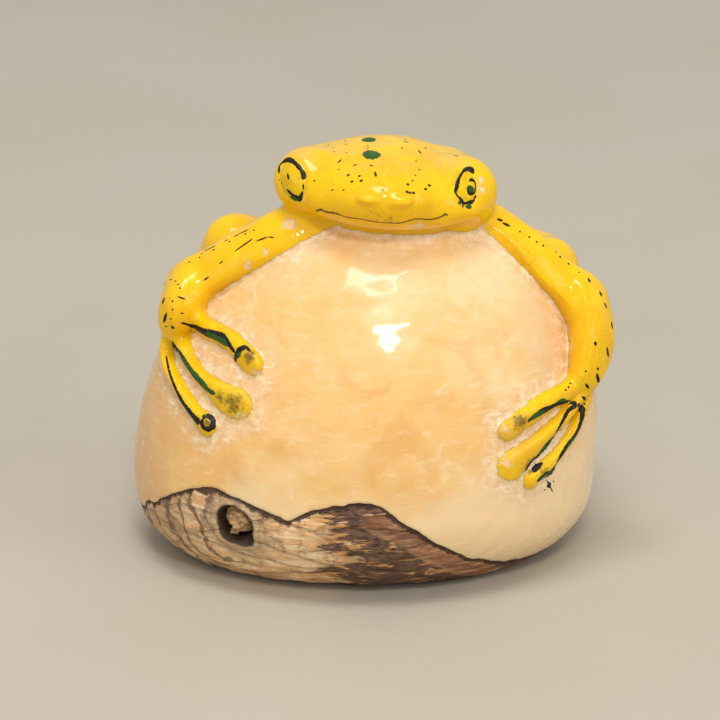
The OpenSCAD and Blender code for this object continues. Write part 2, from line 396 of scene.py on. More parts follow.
def surface_of(field, low, high, voxel):
    """The closed surface where the field is 0, as points and quads. Only cells near it are worked out."""
    count = np.ceil((high - low) / (voxel * COARSE)).astype(int) + 1
    middle = (np.indices(count).reshape(3, -1).T + 0.5) * voxel * COARSE + low
    rough = spread(field, middle).reshape(count)
    band = voxel * COARSE * 1.9
    close = np.argwhere(np.abs(rough) < band)
    grid = np.where(rough > 0, BAND, -BAND).astype(np.float32)
    for axis in range(3):
        grid = np.repeat(grid, COARSE, axis)
    inner = np.indices((COARSE,) * 3).reshape(3, -1).T
    cells = (close[:, None, :] * COARSE + inner[None]).reshape(-1, 3)
    values = np.empty(len(cells), np.float32)
    for part in np.array_split(np.arange(len(cells)), max(1, len(cells) // CELL_CHUNK)):
        values[part] = spread(field, cells[part] * voxel + low + voxel / 2)
    grid[cells[:, 0], cells[:, 1], cells[:, 2]] = np.clip(values, -BAND, BAND)
    volume = openvdb.FloatGrid(background=BAND)
    volume.copyFromArray(grid)
    points, quads = volume.convertToQuads(0.0)
    return points.astype(float) * voxel + low + voxel / 2, quads


def settle(points, field, rounds=3, step=0.04):
    """Moves points onto the field's surface, and gives the way out of it at each."""
    def shared(p):
        return spread(field, p)

    for _ in range(rounds):
        value = shared(points)
        grad = slope_of(shared, points, step, value)
        square = np.maximum((grad ** 2).sum(1), 0.05)
        points = points - grad * (np.clip(value, -0.3, 0.3) / square)[:, None]
    grad = slope_of(shared, points, step)
    return points, grad / np.maximum(np.linalg.norm(grad, axis=1, keepdims=True), 1e-9)


def mesh_object(name, points, faces):
    """A mesh object from points in millimetres and rows of three or four corners."""
    faces = np.asarray(faces)
    count, corners = faces.shape
    mesh = bpy.data.meshes.new(name)
    mesh.vertices.add(len(points))
    mesh.vertices.foreach_set("co", (np.asarray(points) * MM).astype(np.float32).ravel())
    mesh.loops.add(count * corners)
    mesh.loops.foreach_set("vertex_index", faces.astype(np.int32).ravel())
    mesh.polygons.add(count)
    mesh.polygons.foreach_set("loop_start", np.arange(0, count * corners, corners, dtype=np.int32))
    mesh.update(calc_edges=True)
    mesh.validate()
    obj = bpy.data.objects.new(name, mesh)
    bpy.context.scene.collection.objects.link(obj)
    return obj


# ---------------- the seed coat and the germ pore

# Height of the coat's edge: azimuth in degrees and height, once round the nut
COAT_EDGE = [(-180, 6.5), (-140, 5), (-110, 4), (-90, 4.4), (-66, 7.4), (-57, 9.1), (-43, 11.7), (-31, 11.2),
             (-24, 10.4), (-18, 10.1), (-12, 11.1), (-6, 11.8), (1, 11.9), (8, 10.2), (18.5, 6.9), (30, 3.9),
             (50, 1.7), (90, 1.5), (130, 4), (160, 6.8), (180, 6.5)]
# A notch in that edge: azimuth, depth and width
COAT_NOTCH = (-18.5, 0.5, 1.4)
# The highest place that the coat or the pore reaches
COAT_TOP = 15
# The germ pore: azimuth and height, radius, depth, and the way and length of the tail that its mouth has
PORE_AT = (-33, 8.3)
PORE_R = 1.95
PORE_DEPTH = 3.3
TAIL_TURN = math.radians(-52)
TAIL_REACH = 1.3


def curve(rows, at):
    """A smooth curve through rows of position and value, read at each place in at."""
    x, y = np.array(rows, float).T
    slope = np.gradient(y, x)
    slope[1:-1] = (y[2:] - y[:-2]) / (x[2:] - x[:-2])
    i = np.clip(np.searchsorted(x, at) - 1, 0, len(x) - 2)
    width = x[i + 1] - x[i]
    s = (at - x[i]) / width
    return (y[i] * (1 + 2 * s) * (1 - s) ** 2 + slope[i] * width * s * (1 - s) ** 2
            + y[i + 1] * s * s * (3 - 2 * s) - slope[i + 1] * width * s * s * (1 - s))


def coat_depth(p):
    """How far below the coat's worn edge a place is."""
    azimuth = around(p)
    edge = curve(COAT_EDGE, azimuth)
    place, drop, width = COAT_NOTCH
    edge -= drop * np.exp(-((azimuth - place) / width) ** 2)
    jag = 0.16 + 0.30 * np.exp(-((azimuth + 72) / 10) ** 2)
    return edge + jag * waves(p, 2.4, 11) + 0.5 * jag * waves(p, 0.9, 12) - p[:, 2]


pore_mouth = on_nut(*PORE_AT)
pore_out = slope_of(nut_level, pore_mouth[None], 0.05)[0]
pore_out /= np.linalg.norm(pore_out)
pore_side = np.cross((0, 0, 1), pore_out)
pore_side /= np.linalg.norm(pore_side)
pore_side = -pore_side if pore_side[0] < 0 else pore_side
pore_rise = np.cross(pore_out, pore_side)
pore_rise = -pore_rise if pore_rise[2] < 0 else pore_rise


def pore_frame(p):
    """Out of the pore, away from its axis, and how far outside its wall."""
    arm = p - pore_mouth
    out, x, y = arm @ pore_out, arm @ pore_side, arm @ pore_rise
    away, turn = np.hypot(x, y), np.arctan2(y, x)
    off = (turn - TAIL_TURN + math.pi) % (2 * math.pi) - math.pi
    tail = TAIL_REACH * np.exp(-(off / 0.42) ** 2) * np.clip(1 + out / 1.4, 0, 1)
    return out, away, away - (PORE_R + tail + 0.12 * np.sin(3 * turn + 1) + 0.25 * np.clip(out + 0.6, 0, 1))


def step_up(x, low, high):
    """0 below low and 1 above high, with a smooth step between."""
    t = np.clip((x - low) / (high - low), 0, 1)
    return t * t * (3 - 2 * t)


# ---------------- the eyes and the mouth

# The view that the marks on the front are drawn for: its height over the floor, its distance from the
# middle of the object, and the height of that middle
ELEVATION = math.radians(20)
DISTANCE_MM = 420.0
AIM_Z = 20.4
TO_CAMERA = Vector((0, -math.cos(ELEVATION), math.sin(ELEVATION)))
VIEW_RIGHT = np.array([1.0, 0.0, 0.0])
VIEW_UP = np.array([0.0, math.sin(ELEVATION), math.cos(ELEVATION)])
# How far before and behind the middle a line can meet the object, and how many steps a line takes
FRONT_MM = 32
BEHIND_MM = 25
CAST_STEPS = 70


def cast(field, marks):
    """Where straight lines from the front, 20 degrees up, first meet a field, through marks given as
    right and up, in millimetres, on a plane through the object's middle."""
    marks = np.array(marks, float)
    aim = np.array([0, 0, AIM_Z]) + marks[:, :1] * VIEW_RIGHT + marks[:, 1:2] * VIEW_UP
    start = np.array([0, 0, AIM_Z]) + DISTANCE_MM * np.array(TO_CAMERA)
    way = aim - start
    way /= np.linalg.norm(way, axis=1, keepdims=True)
    far = np.full(len(marks), DISTANCE_MM - FRONT_MM)
    best, nearest = far.copy(), np.full(len(marks), FAR)
    for _ in range(CAST_STEPS):
        value = spread(field, start + way * far[:, None])
        closer = np.abs(value) < nearest
        best, nearest = np.where(closer, far, best), np.where(closer, np.abs(value), nearest)
        far = np.minimum(far + 0.55 * np.clip(value, -1.0, 4.0), DISTANCE_MM + BEHIND_MM)
    return start + way * best[:, None]


# Each eye's middle on that plane, its half width and half height, and its lean in degrees
EYES = {"right_eye": ((-7.8, 19.35), (1.6, 2.2), -14), "left_eye": ((11.0, 18.5), (1.25, 2.0), 4)}


def eye_frame(mark, half, lean):
    """An eye's middle on the head, the way out of it, its two axes, and its half sizes."""
    middle, out = settle(cast(head_form, [mark]), head_form)
    out = out[0]
    side = np.cross(VIEW_UP, out)
    side /= np.linalg.norm(side)
    side = side if side[0] > 0 else -side
    rise = np.cross(out, side)
    rise = rise if rise[2] > 0 else -rise
    c, s = math.cos(math.radians(lean)), math.sin(math.radians(lean))
    return middle[0], out, side * c - rise * s, rise * c + side * s, half


eye_frames = {name: eye_frame(*row) for name, row in EYES.items()}


def eye_ring(p, name):
    """Where a place is in an eye's oval, 1 at its rim, and how far out of the eye's plane it is."""
    middle, out, side, rise, half = eye_frames[name]
    arm = p - middle
    return np.hypot(arm @ side / half[0], arm @ rise / half[1]), arm @ out


# The line of the mouth, on the same plane
MOUTH = [(-5.2, 15.9), (-4.6, 16.1), (-4.1, 15.85), (-3.0, 15.7), (-1.9, 15.3), (-0.4, 15.1), (1.2, 14.8),
         (3.6, 14.65), (4.6, 14.85), (5.6, 15.1), (7.2, 15.05), (8.3, 15.35), (8.6, 15.6), (9.0, 15.5)]


def coat_relief(p):
    """How far the coat stands up from the nut, fibrous and ragged, and the distance out of the pore."""
    deep = coat_depth(p)
    streak = p * np.array([0.35, 0.35, 1.0])
    inside = step_up(deep, 0.3, 2.6)
    relief = inside * (0.12 + 0.12 * waves(streak, 1.5, 4) + 0.06 * waves(streak, 0.55, 5))
    relief -= 0.16 * np.exp(-((deep - 0.2) / 0.25) ** 2)
    out, away, wall = pore_frame(p)
    ripple = np.sin(away * 2.3 + 1.2 * waves(p, 5, 6)) * step_up(away, 3.2, 4.2) * (1 - step_up(away, 7, 11))
    relief += 0.16 * np.exp(-((wall - 0.5) / 0.45) ** 2) * (np.abs(out) < 3)
    relief += 0.10 * ripple * inside * (out > -6)
    return relief, np.where(np.abs(out) < 6, np.maximum(wall, -(out + PORE_DEPTH)), FAR)


def carving(p):
    """The whole object: nut, frog, coat and pore, with a flat sole and the worker's unevenness."""
    nut = nut_skin(p) + 0.12 - 0.08 * waves(p, 9, 1) - 0.03 * waves(p, 3.2, 2)
    foot = np.flatnonzero(p[:, 2] < COAT_TOP)
    relief, hole = coat_relief(p[foot])
    nut[foot] -= relief
    soft = 0.6 + 1.5 * step_up(p[:, 2], 32, 36)
    form = smooth_min(nut, frog_form(p), soft) + 0.05 - 0.035 * waves(p, 2.4, 3)
    close = near_head(p)
    for name in EYES:
        ring, proud = eye_ring(p[close], name)
        facing = np.abs(proud) < 2
        form[close] += facing * (0.08 * np.exp(-((ring - 1) / 0.12) ** 2)
                                 - 0.08 * np.clip(1 - ring ** 2, 0, 1))
    form[foot] = smooth_max(form[foot], -hole, 0.3)
    return smooth_max(form, -p[:, 2], 0.8)


def paint_edge(p):
    """Below 0 where the frog is and above 0 where the bare nut is."""
    return frog_form(p) - nut_skin(p) - 0.05


# ---------------- cutting the carving into its pieces

# A box with room to spare round the whole carving
LOW = np.array([-28.0, -24.0, -2.0])
HIGH = np.array([30.0, 25.0, 48.0])
# How far the cutting shapes stand out of the carving, and how thick the frog's regions are cut
PROUD = 0.6
REGION_T = 1.6
# How much room is left round a node's CAD box
NODE_ROOM = 3
# The order in which the frog is cut up; the head is what is left
FROG_NODES = ["right_eye", "left_eye", "right_hand", "left_hand", "right_hind_foot", "left_hind_foot",
              "right_foreleg", "left_foreleg", "right_hind_leg", "left_hind_leg", "frog_trunk", "frog_head"]


def cutter(field, low=LOW, high=HIGH):
    """A closed shape to cut with, wherever the field is below 0."""
    points, quads = surface_of(field, low, high, VOXEL)
    return mesh_object("cutter", points, quads)


def cut(obj, tool, operation):
    """A new object: obj with tool's inside kept (INTERSECT) or taken away (DIFFERENCE)."""
    step = obj.modifiers.new("cut", "BOOLEAN")
    step.solver, step.operation, step.object = "MANIFOLD", operation, tool
    bpy.context.view_layer.update()
    graph = bpy.context.evaluated_depsgraph_get()
    mesh = bpy.data.meshes.new_from_object(obj.evaluated_get(graph))
    obj.modifiers.remove(step)
    made = bpy.data.objects.new(obj.name, mesh)
    bpy.context.scene.collection.objects.link(made)
    return made


def discard(obj):
    """Removes an object and its mesh."""
    mesh = obj.data
    bpy.data.objects.remove(obj)
    bpy.data.meshes.remove(mesh)


def split(obj, tool):
    """obj's part inside tool, and the rest. Both obj and tool go."""
    inner, outer = cut(obj, tool, "INTERSECT"), cut(obj, tool, "DIFFERENCE")
    discard(tool)
    discard(obj)
    return inner, outer


def places(mesh):
    """A mesh's points, in millimetres."""
    flat = np.empty(len(mesh.vertices) * 3, np.float32)
    mesh.vertices.foreach_get("co", flat)
    return flat.reshape(-1, 3).astype(float) / MM


def carved_mesh(name, field, voxel):
    """The carving's surface wherever it is also inside field, settled onto the true form."""
    points, quads = surface_of(field, LOW, HIGH, voxel)
    on_skin = np.abs(carving(points)) < voxel * 0.9
    points[on_skin] = settle(points[on_skin], carving, 2)[0]
    return mesh_object(name, points, quads)


def coat_region(p):
    """Below 0 in the seed coat: under its edge and COAT_T deep."""
    skin = carving(p)
    under = np.maximum(-coat_depth(p), -skin - COAT_T)
    return np.maximum(under, np.maximum(skin - PROUD, p[:, 2] - (COAT_TOP + 1)))


def frog_region(node, others):
    """A field below 0 in one node's share of the frog: where it is nearer than every node in others."""
    def region(p):
        if node in EYES:
            ring, proud = eye_ring(p, node)
            return np.maximum((ring - 1) * min(EYES[node][1]), np.abs(proud + 0.2) - 1.0)
        parts = frog_parts(p)
        rest = np.min([parts[other] for other in others], axis=0)
        return np.maximum(parts[node] - rest, parts[node] - REGION_T)

    return region


def make_pieces():
    """The carving, cut into one closed piece for each of its CAD nodes."""
    whole = carved_mesh("nut_body", carving, VOXEL)
    frog_tool = cutter(lambda p: np.maximum(paint_edge(p), carving(p) - PROUD))
    nut = cut(whole, frog_tool, "DIFFERENCE")
    discard(whole)
    fine = carved_mesh("frog", lambda p: np.maximum(carving(p), paint_edge(p) - 1.0), FINE_VOXEL)
    frog = cut(fine, frog_tool, "INTERSECT")
    discard(fine)
    discard(frog_tool)
    coat, nut = split(nut, cutter(coat_region))
    pieces = {"nut_body": nut, "seed_coat": coat}
    for i, node in enumerate(FROG_NODES[:-1]):
        low, high = frame_box(node)
        tool = cutter(frog_region(node, FROG_NODES[i + 1:]), low - NODE_ROOM, high + NODE_ROOM)
        pieces[node], frog = split(frog, tool)
    pieces["frog_head"] = frog
    for node, obj in pieces.items():
        obj.name = obj.data.name = node + "_carved"
    return pieces


def make_plug():
    """The dry woody remnant at the bottom of the germ pore."""
    middle = pore_mouth - pore_out * (PORE_DEPTH - 1.0) - pore_rise * 0.1 - pore_side * 0.15

    def remnant(p):
        lump = ellipsoid(p, middle, (1.65, 1.65, 1.65)) + 0.28 * waves(p, 1.1, 21) + 0.12 * waves(p, 0.4, 22)
        spur = ellipsoid(p, middle + pore_out * 0.7 + pore_side * 0.5, (0.5, 0.8, 0.9))
        spur += 0.15 * waves(p, 0.6, 23)
        return smooth_min(lump, spur, 0.2)

    points, quads = surface_of(remnant, middle - 3, middle + 3, 0.12)
    return mesh_object("pore_plug_remnant", points, quads)


# ---------------- what the materials read at each point


# Patches on the plane that cast() reads, as right, up, radius and strength: smeared ink, paint worn to the
# ivory, and paint gone thin and pale
PATCHES = {
    "smudge": [
        (-12.3, 0.4, 0.8, 0.9), (-14.0, -4.7, 1.3, 0.8), (-15.4, -4.0, 0.8, 0.7), (-16.7, -6.6, 0.7, 1.0),
        (16.8, -6.6, 1.0, 0.9), (17.7, -11.2, 0.9, 0.9), (19.4, -12.1, 0.8, 0.7), (1.2, 15.4, 1.2, 0.35),
        (2.7, 15.05, 0.7, 0.5), (-18.6, 3.2, 0.5, 0.6)],
    "bare": [
        (5.8, 14.3, 0.9, 1.0), (7.2, 14.0, 0.6, 0.9), (12.5, 19.3, 0.45, 1.0), (12.6, 18.2, 0.4, 1.0),
        (-9.5, 20.4, 0.4, 0.9), (-8.9, 21.7, 0.35, 0.9), (-15.3, 6.4, 1.0, 1.0), (-8.0, 14.5, 0.8, 1.0),
        (21.3, 0.2, 0.8, 0.9), (-12.3, 10.1, 0.7, 0.9), (12.6, 13.6, 0.8, 1.0), (21.6, 3.6, 0.6, 0.8),
        (-10.6, 11.6, 0.5, 0.9), (14.9, -7.7, 0.9, 0.62), (15.3, -10.8, 1.0, 0.62), (-11.6, -1.5, 0.8, 0.6),
        (-13.2, -6.4, 1.0, 0.62), (-16.9, -8.6, 0.5, 0.7), (19.0, -13.6, 0.5, 0.6), (-6.95, 19.9, 0.2, 0.9)],
    "pale": [
        (-6.4, 22.0, 1.6, 0.9), (9.2, 21.4, 1.7, 1.0), (1.6, 23.1, 2.0, 0.4), (-8.6, 21.6, 0.8, 0.8),
        (12.3, 18.6, 0.7, 1.0), (10.9, 20.9, 0.6, 0.9), (-2.6, 22.6, 1.6, 0.5), (16.0, -9.0, 2.2, 0.5),
        (-12.6, -3.4, 2.2, 0.5)]}
patch_places = {name: cast(carving, [row[:2] for row in rows]) for name, rows in PATCHES.items()}


def patches(p, name):
    """How much of each place lies in the patches of one name, from 0 to 1."""
    total = np.zeros(len(p))
    for place, (_, _, radius, strength) in zip(patch_places[name], PATCHES[name]):
        total = np.maximum(total, strength * np.exp(-((p - place) ** 2).sum(1) / radius ** 2))
    return total


def store(mesh, name, values):
    """Keeps one number for each of a mesh's points, for the materials to read."""
    if name in mesh.attributes:
        mesh.attributes.remove(mesh.attributes[name])
    layer = mesh.attributes.new(name, "FLOAT", "POINT")
    layer.data.foreach_set("value", np.asarray(values, np.float32))


# How far out a hollow is felt for, and how near the carving's surface a face counts as its skin
FEEL = 0.9
ON_SKIN = 0.08


def dress(obj):
    """Stores the paint's edge, the coat's edge and the hollows, and shades the outside by the true form."""
    mesh = obj.data
    p = places(mesh)
    out = slope_of(lambda q: spread(carving, q), p, 0.06)
    out /= np.maximum(np.linalg.norm(out, axis=1, keepdims=True), 1e-9)
    store(mesh, "paint", np.clip(paint_edge(p), -3, 3))
    store(mesh, "coat", np.clip(coat_depth(p), -3, 8))
    store(mesh, "hollow", np.clip(1 - carving(p + out * FEEL) / FEEL, -1, 1))
    store(mesh, "pore", np.clip(pore_frame(p)[2], -2, 12))
    for name in PATCHES:
        store(mesh, name, patches(p, name))
    count = len(mesh.polygons)
    middles = np.empty(count * 3, np.float32)
    mesh.polygons.foreach_get("center", middles)
    skin = np.abs(carving(middles.reshape(-1, 3).astype(float) / MM)) < ON_SKIN
    flat = np.empty(count * 3, np.float32)
    mesh.polygons.foreach_get("normal", flat)
    totals = np.empty(count, np.int32)
    mesh.polygons.foreach_get("loop_total", totals)
    corner = np.empty(len(mesh.loops), np.int32)
    mesh.loops.foreach_get("vertex_index", corner)
    owner = np.repeat(np.arange(count), totals)
    normals = np.where(skin[owner][:, None], out[corner], flat.reshape(-1, 3)[owner])
    mesh.polygons.foreach_set("use_smooth", np.ones(count, bool))
    mesh.normals_split_custom_set(normals.tolist())


# ---------------- ink

# How high the ink stands, how deep its underside is sunk, and how much more the green stands than the rest
INK_HIGH = 0.03
INK_DEEP = 0.04
GREEN_OVER = 0.03
# How much wider the eye and toe lines are drawn than their tables say
BOLD = 1.25
# A stroke with a longer step than this has jumped to a form behind, and is left out
LONGEST_STEP = 2.5
# Points across a stroke
ACROSS = 5


def pen_line(marks, half, seed, ragged=0.17, spacing=0.14):
    """Evenly spaced marks along one stroke, and its half width at each."""
    line = catmull(marks, 10)
    length = np.r_[0, np.cumsum(np.linalg.norm(np.diff(line, axis=0), axis=1))]
    count = max(4, int(length[-1] / spacing) + 1)
    even = np.linspace(0, length[-1], count)
    line = np.stack([np.interp(even, length, column) for column in line.T], axis=1)
    share = np.linspace(0, 1, count)
    widths = np.interp(share, np.linspace(0, 1, len(half)), half)
    widths = widths * (1 + ragged * np.random.default_rng(seed).uniform(-1, 1, count))
    return line, widths * np.clip(np.minimum(share, 1 - share) * count / 1.5, 0.35, 1)


def in_space(lines):
    """The strokes as points in space: those that are flat marks are cast onto the carving, all in one go."""
    flat = [line for line in lines if line.shape[1] == 2]
    ends = np.cumsum([len(line) for line in flat])[:-1]
    found = iter(np.split(cast(carving, np.vstack(flat)), ends))
    return [next(found) if line.shape[1] == 2 else line for line in lines]


def ink_piece(name, strokes, height):
    """One object of many low closed ridges, each domed on top and sunk a little into the surface."""
    lines, widths = zip(*strokes)
    ends = np.cumsum([len(line) for line in lines])[:-1]
    points, normals = settle(np.vstack(in_space(lines)), carving, 3)
    across = np.linspace(-1, 1, ACROSS)
    rows, domes = [], []
    for line, normal, width in zip(np.split(points, ends), np.split(normals, ends), widths):
        if np.linalg.norm(np.diff(line, axis=0), axis=1).max() > LONGEST_STEP:
            continue
        side = np.cross(normal, np.gradient(line, axis=0))
        side /= np.maximum(np.linalg.norm(side, axis=1, keepdims=True), 1e-9)
        rows.append(line[:, None, :] + side[:, None, :] * (width[:, None] * across)[:, :, None])
        share = np.minimum(np.arange(len(line)), np.arange(len(line))[::-1])[:, None]
        domes.append(np.clip(1 - across ** 2, 0.12, 1)[None, :] * np.clip((share + 0.3) / 1.5, 0.2, 1))
    flat, out = settle(np.vstack([row.reshape(-1, 3) for row in rows]), carving, 2)
    total, base, faces = len(flat), 0, []
    for row in rows:
        n, m, _ = row.shape
        for a in (base + i * m + j for i in range(n - 1) for j in range(m - 1)):
            faces.append((a, a + m, a + m + 1, a + 1))
            faces.append((a + total, a + 1 + total, a + m + 1 + total, a + m + total))
        rim = ([j for j in range(m)] + [i * m + m - 1 for i in range(1, n)]
               + [(n - 1) * m + j for j in range(m - 2, -1, -1)] + [i * m for i in range(n - 2, 0, -1)])
        for a, b in zip(rim, rim[1:] + rim[:1]):
            faces.append((base + a, base + b, base + b + total, base + a + total))
        base += n * m
    dome = np.concatenate([d.ravel() for d in domes])[:, None]
    obj = mesh_object(name, np.vstack([flat + out * (height * dome), flat - out * INK_DEEP]), faces)
    obj.data.shade_smooth()
    return obj


def oval_line(middle, rx, ry, turn=0.0, count=14):
    """The marks of a line drawn round an oval."""
    t = np.linspace(0, 2 * math.pi, count + 1) + turn
    return [(middle[0] + rx * math.cos(a), middle[1] + ry * math.sin(a)) for a in t]


def oval_stroke(middle, reach, half):
    """A filled oval, as one short stroke that swells in its middle."""
    share = np.linspace(-1, 1, 9)
    line = [middle + reach * t for t in share]
    return line, (half * np.sqrt(np.maximum(1 - share ** 2, 0.06))).tolist()


def blob(middle, rx, ry, lean=0.0):
    """A filled oval on the plane that cast() reads."""
    c, s = math.cos(math.radians(lean)), math.sin(math.radians(lean))
    return oval_stroke(np.array(middle), rx * np.array((c, s)), ry)


# Every mark is right and up in millimetres on the plane that cast() reads. A stroke is its marks and its
# half widths from one end to the other.
HEAD_SPECKS = [(-3.8, 23.0), (-3.3, 22.7), (-3.2, 22.3), (-1.9, 23.1), (-2.0, 23.5), (-1.9, 22.2),
    (-2.7, 20.4), (0.4, 23.0), (0.4, 22.7), (-5.3, 19.2), (-2.2, 18.2), (-3.4, 18.2), (2.0, 18.2),
    (5.5, 19.8), (5.2, 19.2), (6.6, 22.7), (5.9, 20.4), (4.1, 22.7), (5.6, 21.3), (4.4, 23.6)]
HEAD_DOTS = [(-1.7, 19.8), (-1.3, 19.1), (-0.5, 19.7), (-0.3, 19.2), (4.7, 18.8), (7.0, 18.7),
    (6.6, 18.3), (5.3, 17.9), (4.6, 18.0), (4.9, 17.9)]
HEAD_DASHES = [((-2.8, 21.1), (-2.4, 21.5)), ((-1.2, 20.8), (-0.7, 20.95)), ((0.6, 20.9), (1.0, 20.75)),
    ((1.15, 20.2), (1.3, 19.6)), ((5.8, 22.5), (6.1, 22.1)), ((9.6, 21.95), (10.1, 21.8)),
    ((4.2, 23.4), (4.8, 23.3))]
ARM_DASHES = {
    "right": [((-17.2, 11.6), (-15.8, 12.3)), ((-13.4, 13.5), (-12.3, 14.0)),
        ((-14.0, 13.2), (-13.3, 13.5)), ((-15.0, 12.7), (-14.6, 12.9)), ((-17.5, 11.3), (-17.2, 11.5)),
        ((-10.3, 13.2), (-9.6, 13.1)), ((-11.6, 12.7), (-10.3, 13.2)), ((-13.9, 11.6), (-11.9, 13.0)),
        ((-15.5, 10.3), (-15.1, 10.6)), ((-17.2, 8.5), (-16.6, 8.9)), ((-20.3, 8.5), (-20.1, 8.4)),
        ((-20.0, 6.8), (-19.1, 6.5)), ((-19.7, 5.0), (-19.3, 5.0))],
    "left": [((14.2, 15.1), (14.9, 14.9)), ((14.8, 14.7), (15.7, 14.3)), ((16.6, 13.8), (16.8, 13.7)),
        ((17.6, 13.2), (17.8, 13.1)), ((18.4, 12.7), (18.6, 12.6)), ((19.1, 12.3), (19.3, 12.2)),
        ((20.5, 11.6), (20.6, 11.5)), ((20.9, 11.1), (21.1, 11.0)), ((21.8, 10.4), (22.0, 10.2)),
        ((23.7, -1.1), (23.8, -1.3)), ((21.8, -2.9), (22.0, -2.9)), ((23.7, -2.5), (24.1, -3.1)),
        ((25.0, -0.8), (25.1, -1.1))]}
ARM_DOTS = {
    "right": [(-11.8, 13.9), (-12.7, 13.5), (-14.4, 12.7), (-16.1, 11.8), (-17.6, 11.0), (-18.7, 10.5),
        (-20.7, 8.6), (-19.9, 8.1), (-19.7, 7.7), (-20.5, 6.3), (-20.5, 5.4), (-20.7, 4.4), (-21.2, 3.6)],
    "left": [(23.0, 9.4), (21.6, -3.2), (22.1, -2.5), (24.1, -3.9), (23.6, -4.7)]}
ELBOW_DASHES = {
    "right": [((-21.3, 6.7), (-21.65, 6.0)), ((-21.1, 5.1), (-21.5, 4.0)),
        ((-21.4, 8.4), (-21.55, 8.0)), ((-20.6, 3.7), (-20.4, 3.3))],
    "left": [((24.0, 8.8), (24.2, 8.3)), ((25.2, 7.4), (25.5, 6.8)), ((25.7, 6.2), (26.0, 5.5)),
        ((26.5, 4.2), (26.6, 3.3)), ((26.0, 1.4), (26.2, 0.3)), ((24.7, 2.0), (24.85, 1.5)),
        ((24.9, -1.4), (25.2, -2.5)), ((23.3, -3.9), (23.8, -4.3))]}
RIGHT_EYE_INK = [
    ([(-9.1, 19.9), (-9.1, 20.6), (-8.9, 21.0), (-8.5, 21.35), (-8.15, 21.45), (-7.6, 21.25),
      (-7.1, 20.8), (-6.7, 20.3), (-6.45, 19.8), (-6.55, 19.3)],
     (0.08, 0.18, 0.12, 0.24, 0.26, 0.18, 0.18, 0.18, 0.24, 0.26)),
    ([(-8.3, 18.3), (-7.8, 17.8), (-7.3, 17.45), (-6.9, 17.2), (-6.7, 17.6), (-6.55, 18.1)],
     (0.1, 0.16, 0.2, 0.26, 0.18, 0.08)),
    ([(-6.5, 18.9), (-6.5, 18.2)], (0.05, 0.08, 0.05)),
    ([(-8.85, 19.0), (-8.8, 18.85)], (0.15, 0.17, 0.12)),
    ([(-9.05, 19.35), (-9.0, 19.25)], (0.07, 0.09, 0.07)),
    ([(-8.2, 20.0), (-8.05, 19.3)], (0.09, 0.14, 0.09))]
LEFT_EYE_INK = [
    ([(11.75, 19.95), (11.3, 20.5), (10.75, 20.3), (10.3, 19.7), (10.0, 19.0), (9.85, 18.3),
      (9.8, 17.95), (10.05, 17.55), (10.4, 17.1), (10.65, 16.75), (11.1, 16.85), (11.65, 16.95),
      (11.85, 17.35), (12.05, 17.7)],
     (0.14, 0.32, 0.18, 0.12, 0.11, 0.16, 0.24, 0.16, 0.12, 0.16, 0.18, 0.1, 0.2, 0.14, 0.12)),
    ([(11.25, 19.15), (11.55, 19.3), (11.85, 19.1), (11.95, 18.6), (11.9, 18.1), (11.7, 17.85),
      (11.35, 17.75), (11.15, 18.15), (11.25, 18.7)], (0.16, 0.18, 0.1, 0.08, 0.09, 0.13, 0.14, 0.15)),
    ([(10.6, 16.75), (10.55, 16.3)], (0.16, 0.12))]
GREEN_BLOBS = [((0.8, 22.0), 1.0, 1.05, 4), ((0.5, 23.6), 0.8, 0.85, 4), ((11.45, 18.3), 0.4, 0.42, 0),
    ((-7.5, 17.3), 0.5, 0.36, -20), ((11.2, 16.4), 0.35, 0.3, 0), ((10.25, 16.85), 0.2, 0.3, 0)]
RIGHT_HAND_INK = [
    ([(-19.6, 4.0), (-18.9, 3.8), (-18.1, 3.5), (-17.2, 3.0), (-16.2, 2.7), (-15.3, 2.5), (-14.7, 2.0),
      (-14.2, 1.3), (-13.8, 0.8)], (0.1, 0.12, 0.3, 0.36, 0.42, 0.45, 0.3, 0.22, 0.2)),
    ([(-13.8, -0.3), (-13.7, 0.5), (-13.2, 1.2), (-12.6, 1.35), (-12.2, 0.9)],
     (0.18, 0.24, 0.26, 0.22, 0.12)),
    ([(-20.5, 2.0), (-20.1, 1.3), (-19.5, 0.3), (-18.9, -0.6), (-18.2, -1.5)],
     (0.2, 0.22, 0.24, 0.24, 0.16)),
    ([(-21.2, 0.5), (-20.9, -1.0), (-20.5, -2.3), (-19.8, -3.9), (-19.0, -5.2), (-18.2, -6.2),
      (-17.6, -6.8)], (0.06, 0.1, 0.13, 0.16, 0.24, 0.34, 0.38)),
    (oval_line((-16.75, -6.7), 0.62, 0.72, 2.6), (0.2, 0.26, 0.2))]
RIGHT_HAND_GREEN = [
    ([(-17.0, 2.9), (-16.4, 2.65), (-15.8, 2.35), (-15.1, 2.0), (-14.5, 1.5)],
     (0.14, 0.3, 0.38, 0.36, 0.2)),
    ([(-18.2, 3.45), (-17.8, 3.2)], (0.12, 0.16)),
    ([(-13.6, 0.2), (-13.2, 0.9)], (0.18, 0.16)),
    ([(-20.2, 1.4), (-19.6, 0.4), (-18.9, -0.7), (-18.2, -1.6), (-17.4, -2.5), (-16.6, -3.3),
      (-15.9, -3.6)], (0.1, 0.16, 0.24, 0.34, 0.38, 0.32, 0.16)),
    ([(-17.3, -5.9), (-16.7, -5.95)], (0.1, 0.14))]
